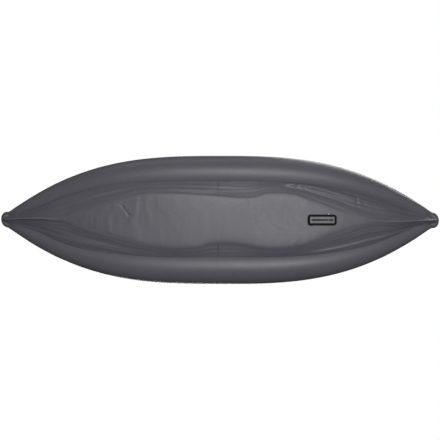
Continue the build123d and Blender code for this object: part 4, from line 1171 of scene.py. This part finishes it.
def onTube(x, sign, angle, inboard):
    y, z = tubeCentre(x)
    a = np.radians(angle)
    across = -np.cos(a) if inboard else np.cos(a)
    normal = np.stack([0 * a * x, sign * across + 0 * x, np.sin(a) + 0 * x], -1)
    return np.stack([x, sign * y, z], -1) + normal * tubeRadius(x)[..., None], normal


def makePatches():
    parts = []
    for sign in sides.values():
        for forward in (True, False):
            own = cornerPoints("ring_patches", sign, forward)
            centreX = (own[:, 0].min() + own[:, 0].max()) / 2
            r = float(tubeRadius(np.array(centreX)))
            share = np.linspace(0, 1, 16)[:, None]
            a = np.linspace(0, 2 * np.pi, 56, endpoint=False)[None, :]
            radius = patch["radius"] * share
            x = centreX + radius * np.cos(a)
            angle = patch["angle"] + np.degrees(radius * np.sin(a) / r)
            base, normal = onTube(x, sign, angle, True)
            thick = patch["thick"] * ease(1.0, 0.90, share) + 0.0001
            over = base + normal * (0.0004 + thick)[..., None]
            under = base + normal * hull["gap"]
            rings = np.concatenate([over[1:], under[1:][::-1]])
            parts.append(discMesh(rings, over[0, 0], under[0, 0]))
    piece = joined("ring_patch_discs", parts)
    finish(piece, "hull", "rubber", "ring_patches")


# A disc's rings from near the middle of its upper face out, round the rim and back, with both
# middles closed
def discMesh(rings, upperMiddle, lowerMiddle):
    rows, columns = rings.shape[:2]
    verts = np.concatenate([rings.reshape(-1, 3), [upperMiddle, lowerMiddle]])
    i, j = np.meshgrid(np.arange(rows - 1), np.arange(columns), indexing="ij")
    k = (j + 1) % columns
    quads = np.stack([i * columns + j, i * columns + k, (i + 1) * columns + k, (i + 1) * columns + j], -1)
    faces = quads.reshape(-1, 4).tolist()
    a = np.arange(columns)
    b = (a + 1) % columns
    top, bottomRow = rows * columns, (rows - 1) * columns
    faces += np.stack([np.full(columns, top), b, a], -1).tolist()
    faces += np.stack([np.full(columns, top + 1), bottomRow + a, bottomRow + b], -1).tolist()
    return verts, faces


makePatches()


# Keepers: a short webbing arch over each ring's straight bar
def makeKeepers():
    for label, sign in sides.items():
        for where, forward in (("front", True), ("rear", False)):
            ring = cornerPoints("d_rings", sign, forward).mean(0)
            hook = cornerPoints("snap_hooks", sign, forward).mean(0)
            own = cornerPoints("ring_patches", sign, forward)
            centreX = (own[:, 0].min() + own[:, 0].max()) / 2
            base, normal = onTube(np.array([centreX]), sign, np.array([patch["angle"]]), True)
            base, normal = base[0], normal[0]
            pull = hook - ring
            bar = unit(np.cross(normal, pull))
            away = np.cross(bar, normal)
            t = np.linspace(0, np.pi, 24)
            outward = (np.cos(t) * keeper["reach"])[:, None] * away
            path = base + normal * keeper["lift"] + outward + (np.sin(t) * keeper["high"])[:, None] * normal
            tangent = unit(np.gradient(path, axis=0))
            side = np.broadcast_to(bar, path.shape)
            up = np.cross(side, tangent)
            section = roundedSection(keeper["half"], keeper["thick"], 20, 7.0)
            finish(surface("keeper_" + where + "_" + label, carried(path, side, up, section), ends="pole"),
                   "hull", "webbing")


makeKeepers()
print("straps and rings made")


footBar = {"long": 0.236, "thick": 0.026, "high": 0.078, "rib": 0.0016, "ribPitch": 0.011}


# Moulded bar: rounded section along Y, ends rounded off, ribs across the face the feet press
def makeFootBar():
    along = unit(np.array(joints["foot_brace_slide"]["axis"]))
    up = np.array([-along[2], 0.0, along[0]])
    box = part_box("foot_bar")
    middle = np.array((box[0] + box[1]) / 2)
    t = np.linspace(-1, 1, 120)
    size = (1 - np.abs(t) ** 22) ** (1 / 3.0)
    section = roundedSection(footBar["thick"] / 2, footBar["high"] / 2, 180, 5.0)
    wave = np.sin(section[:, 1] * 2 * np.pi / footBar["ribPitch"])
    ribs = footBar["rib"] * (wave > 0.1) * (section[:, 0] < -0.009)
    ribs = ribs * ease(0.036, 0.031, np.abs(section[:, 1]))
    field = ease(0.94, 0.90, np.abs(t))
    points = (middle + (t * footBar["long"] / 2)[:, None, None] * np.array([0.0, 1.0, 0.0])
              + size[:, None, None] * (section[None, :, :1] * along + section[None, :, 1:] * up)
              + (field[:, None] * ribs[None, :])[..., None] * along)
    finish(surface("foot_bar_moulding", points, ends="pole"), "foot_brace", "rubber", "foot_bar")


makeFootBar()
print("foot brace made")


# finishes of the pieces that keep their CAD shape
valves = [*sides, "floor"]
keptFinishes = {
    "finFrame": ["fin_box_frame"],
    "finTrack": ["fin_track"],
    "blackPlastic": ["valve_nuts", "strap_adjusters", "foot_carriage", "foot_track",
                     *[name + "_handle_base" for name in [*ends, *sides]],
                     *[name + "_valve_body" for name in valves]],
    "greyPlastic": ["foot_knob", *[name + "_valve_cap" for name in valves],
                    *[name + "_valve_plunger" for name in valves]],
    "steel": ["fin_lock_pin", "d_rings", "snap_hooks",
              *[name + "_valve_spring" for name in valves]],
    "rubber": ["valve_seals"],
    "board": ["backrest_board"],
}
for finishName, nodes in keptFinishes.items():
    for node in nodes:
        kept = frame["nodes"][node]
        kept.data.materials.clear()
        kept.data.materials.append(finishes[finishName])


stage = {"half": 60.0, "drop": 0.002, "colour": rgb(0.45, 0.45, 0.44), "rough": 0.7, "glow": 0.62}


# Pale floor, clear when seen from below
def makeStage():
    floorMesh = bpy.data.meshes.new("studio_floor")
    half = stage["half"]
    corners = [(-half, -half, 0), (half, -half, 0), (half, half, 0), (-half, half, 0)]
    floorMesh.from_pydata(corners, [], [(0, 1, 2, 3)])
    floor = bpy.data.objects.new("studio_floor", floorMesh)
    bpy.context.scene.collection.objects.link(floor)
    floor.location.z = -stage["drop"]
    material = bpy.data.materials.new("studioFloor")
    material.use_nodes = True
    tree = material.node_tree
    shader = tree.nodes["Principled BSDF"]
    shader.inputs["Base Color"].default_value = stage["colour"]
    shader.inputs["Roughness"].default_value = stage["rough"]
    shader.inputs["Emission Color"].default_value = rgb(1.0, 1.0, 1.0)
    shader.inputs["Emission Strength"].default_value = stage["glow"]
    clear = addNode(tree, "BsdfTransparent")
    behind = addNode(tree, "NewGeometry").outputs["Backfacing"]
    mixed = addNode(tree, "MixShader", {0: behind, 1: shader.outputs[0], 2: clear.outputs[0]})
    tree.links.new(mixed.outputs[0], tree.nodes["Material Output"].inputs["Surface"])
    floorMesh.materials.append(material)
    floor.visible_shadow = False
    floor.visible_diffuse = False
    floor.visible_glossy = False


lights = {
    "key": {"place": (-1.75, 2.07, -12.0), "size": (6.2, 3.4), "power": 810.0},
    "under": {"place": (0.0, 0.6, -6.0), "size": (7.0, 6.0), "power": 50.0},
    "portSide": {"place": (0.0, 5.0, 0.5), "size": (6.0, 1.6), "power": 34.0},
    "top": {"place": (0.8, -0.8, 4.2), "size": (3.5, 3.0), "power": 190.0},
    "topFill": {"place": (-2.5, 2.5, 3.4), "size": (3.0, 3.0), "power": 110.0},
}
lightAim = Vector((0.0, 0.0, 0.15))
evenLight = 0.09


def makeLights():
    for name, values in lights.items():
        data = bpy.data.lights.new(name, "AREA")
        data.shape = "RECTANGLE"
        data.size, data.size_y = values["size"]
        data.energy = values["power"]
        light = bpy.data.objects.new(name, data)
        light.location = values["place"]
        aim = lightAim - light.location
        light.rotation_mode = "QUATERNION"
        light.rotation_quaternion = aim.to_track_quat("-Z", "Y")
        light.visible_camera = False
        bpy.context.scene.collection.objects.link(light)


# White behind the object, a dim even light on it
def makeWorld():
    world = bpy.data.worlds.new("studio")
    bpy.context.scene.world = world
    world.use_nodes = True
    tree = world.node_tree
    seen = tree.nodes["Background"]
    seen.inputs["Color"].default_value = rgb(1, 1, 1)
    lit = addNode(tree, "Background", {"Color": rgb(1, 1, 1), "Strength": evenLight})
    camera = addNode(tree, "LightPath").outputs["Is Camera Ray"]
    mixed = addNode(tree, "MixShader", {0: camera, 1: lit.outputs[0], 2: seen.outputs[0]})
    tree.links.new(mixed.outputs[0], tree.nodes["World Output"].inputs["Surface"])


# Straight up from under the keel, with the bow to the left
cameraView = {"distance": 4.0, "lens": 48.95, "sensor": 36.0}


def makeCamera():
    data = bpy.data.cameras.new("camera")
    data.lens, data.sensor_width = cameraView["lens"], cameraView["sensor"]
    camera = bpy.data.objects.new("camera", data)
    camera.location = (0.0, 0.0, -cameraView["distance"])
    camera.rotation_euler = (0.0, math.pi, 0.0)
    bpy.context.scene.collection.objects.link(camera)
    bpy.context.scene.camera = camera
    bpy.context.scene.view_settings.view_transform = "Standard"


makeStage()
makeLights()
makeWorld()
makeCamera()
print("stage made")
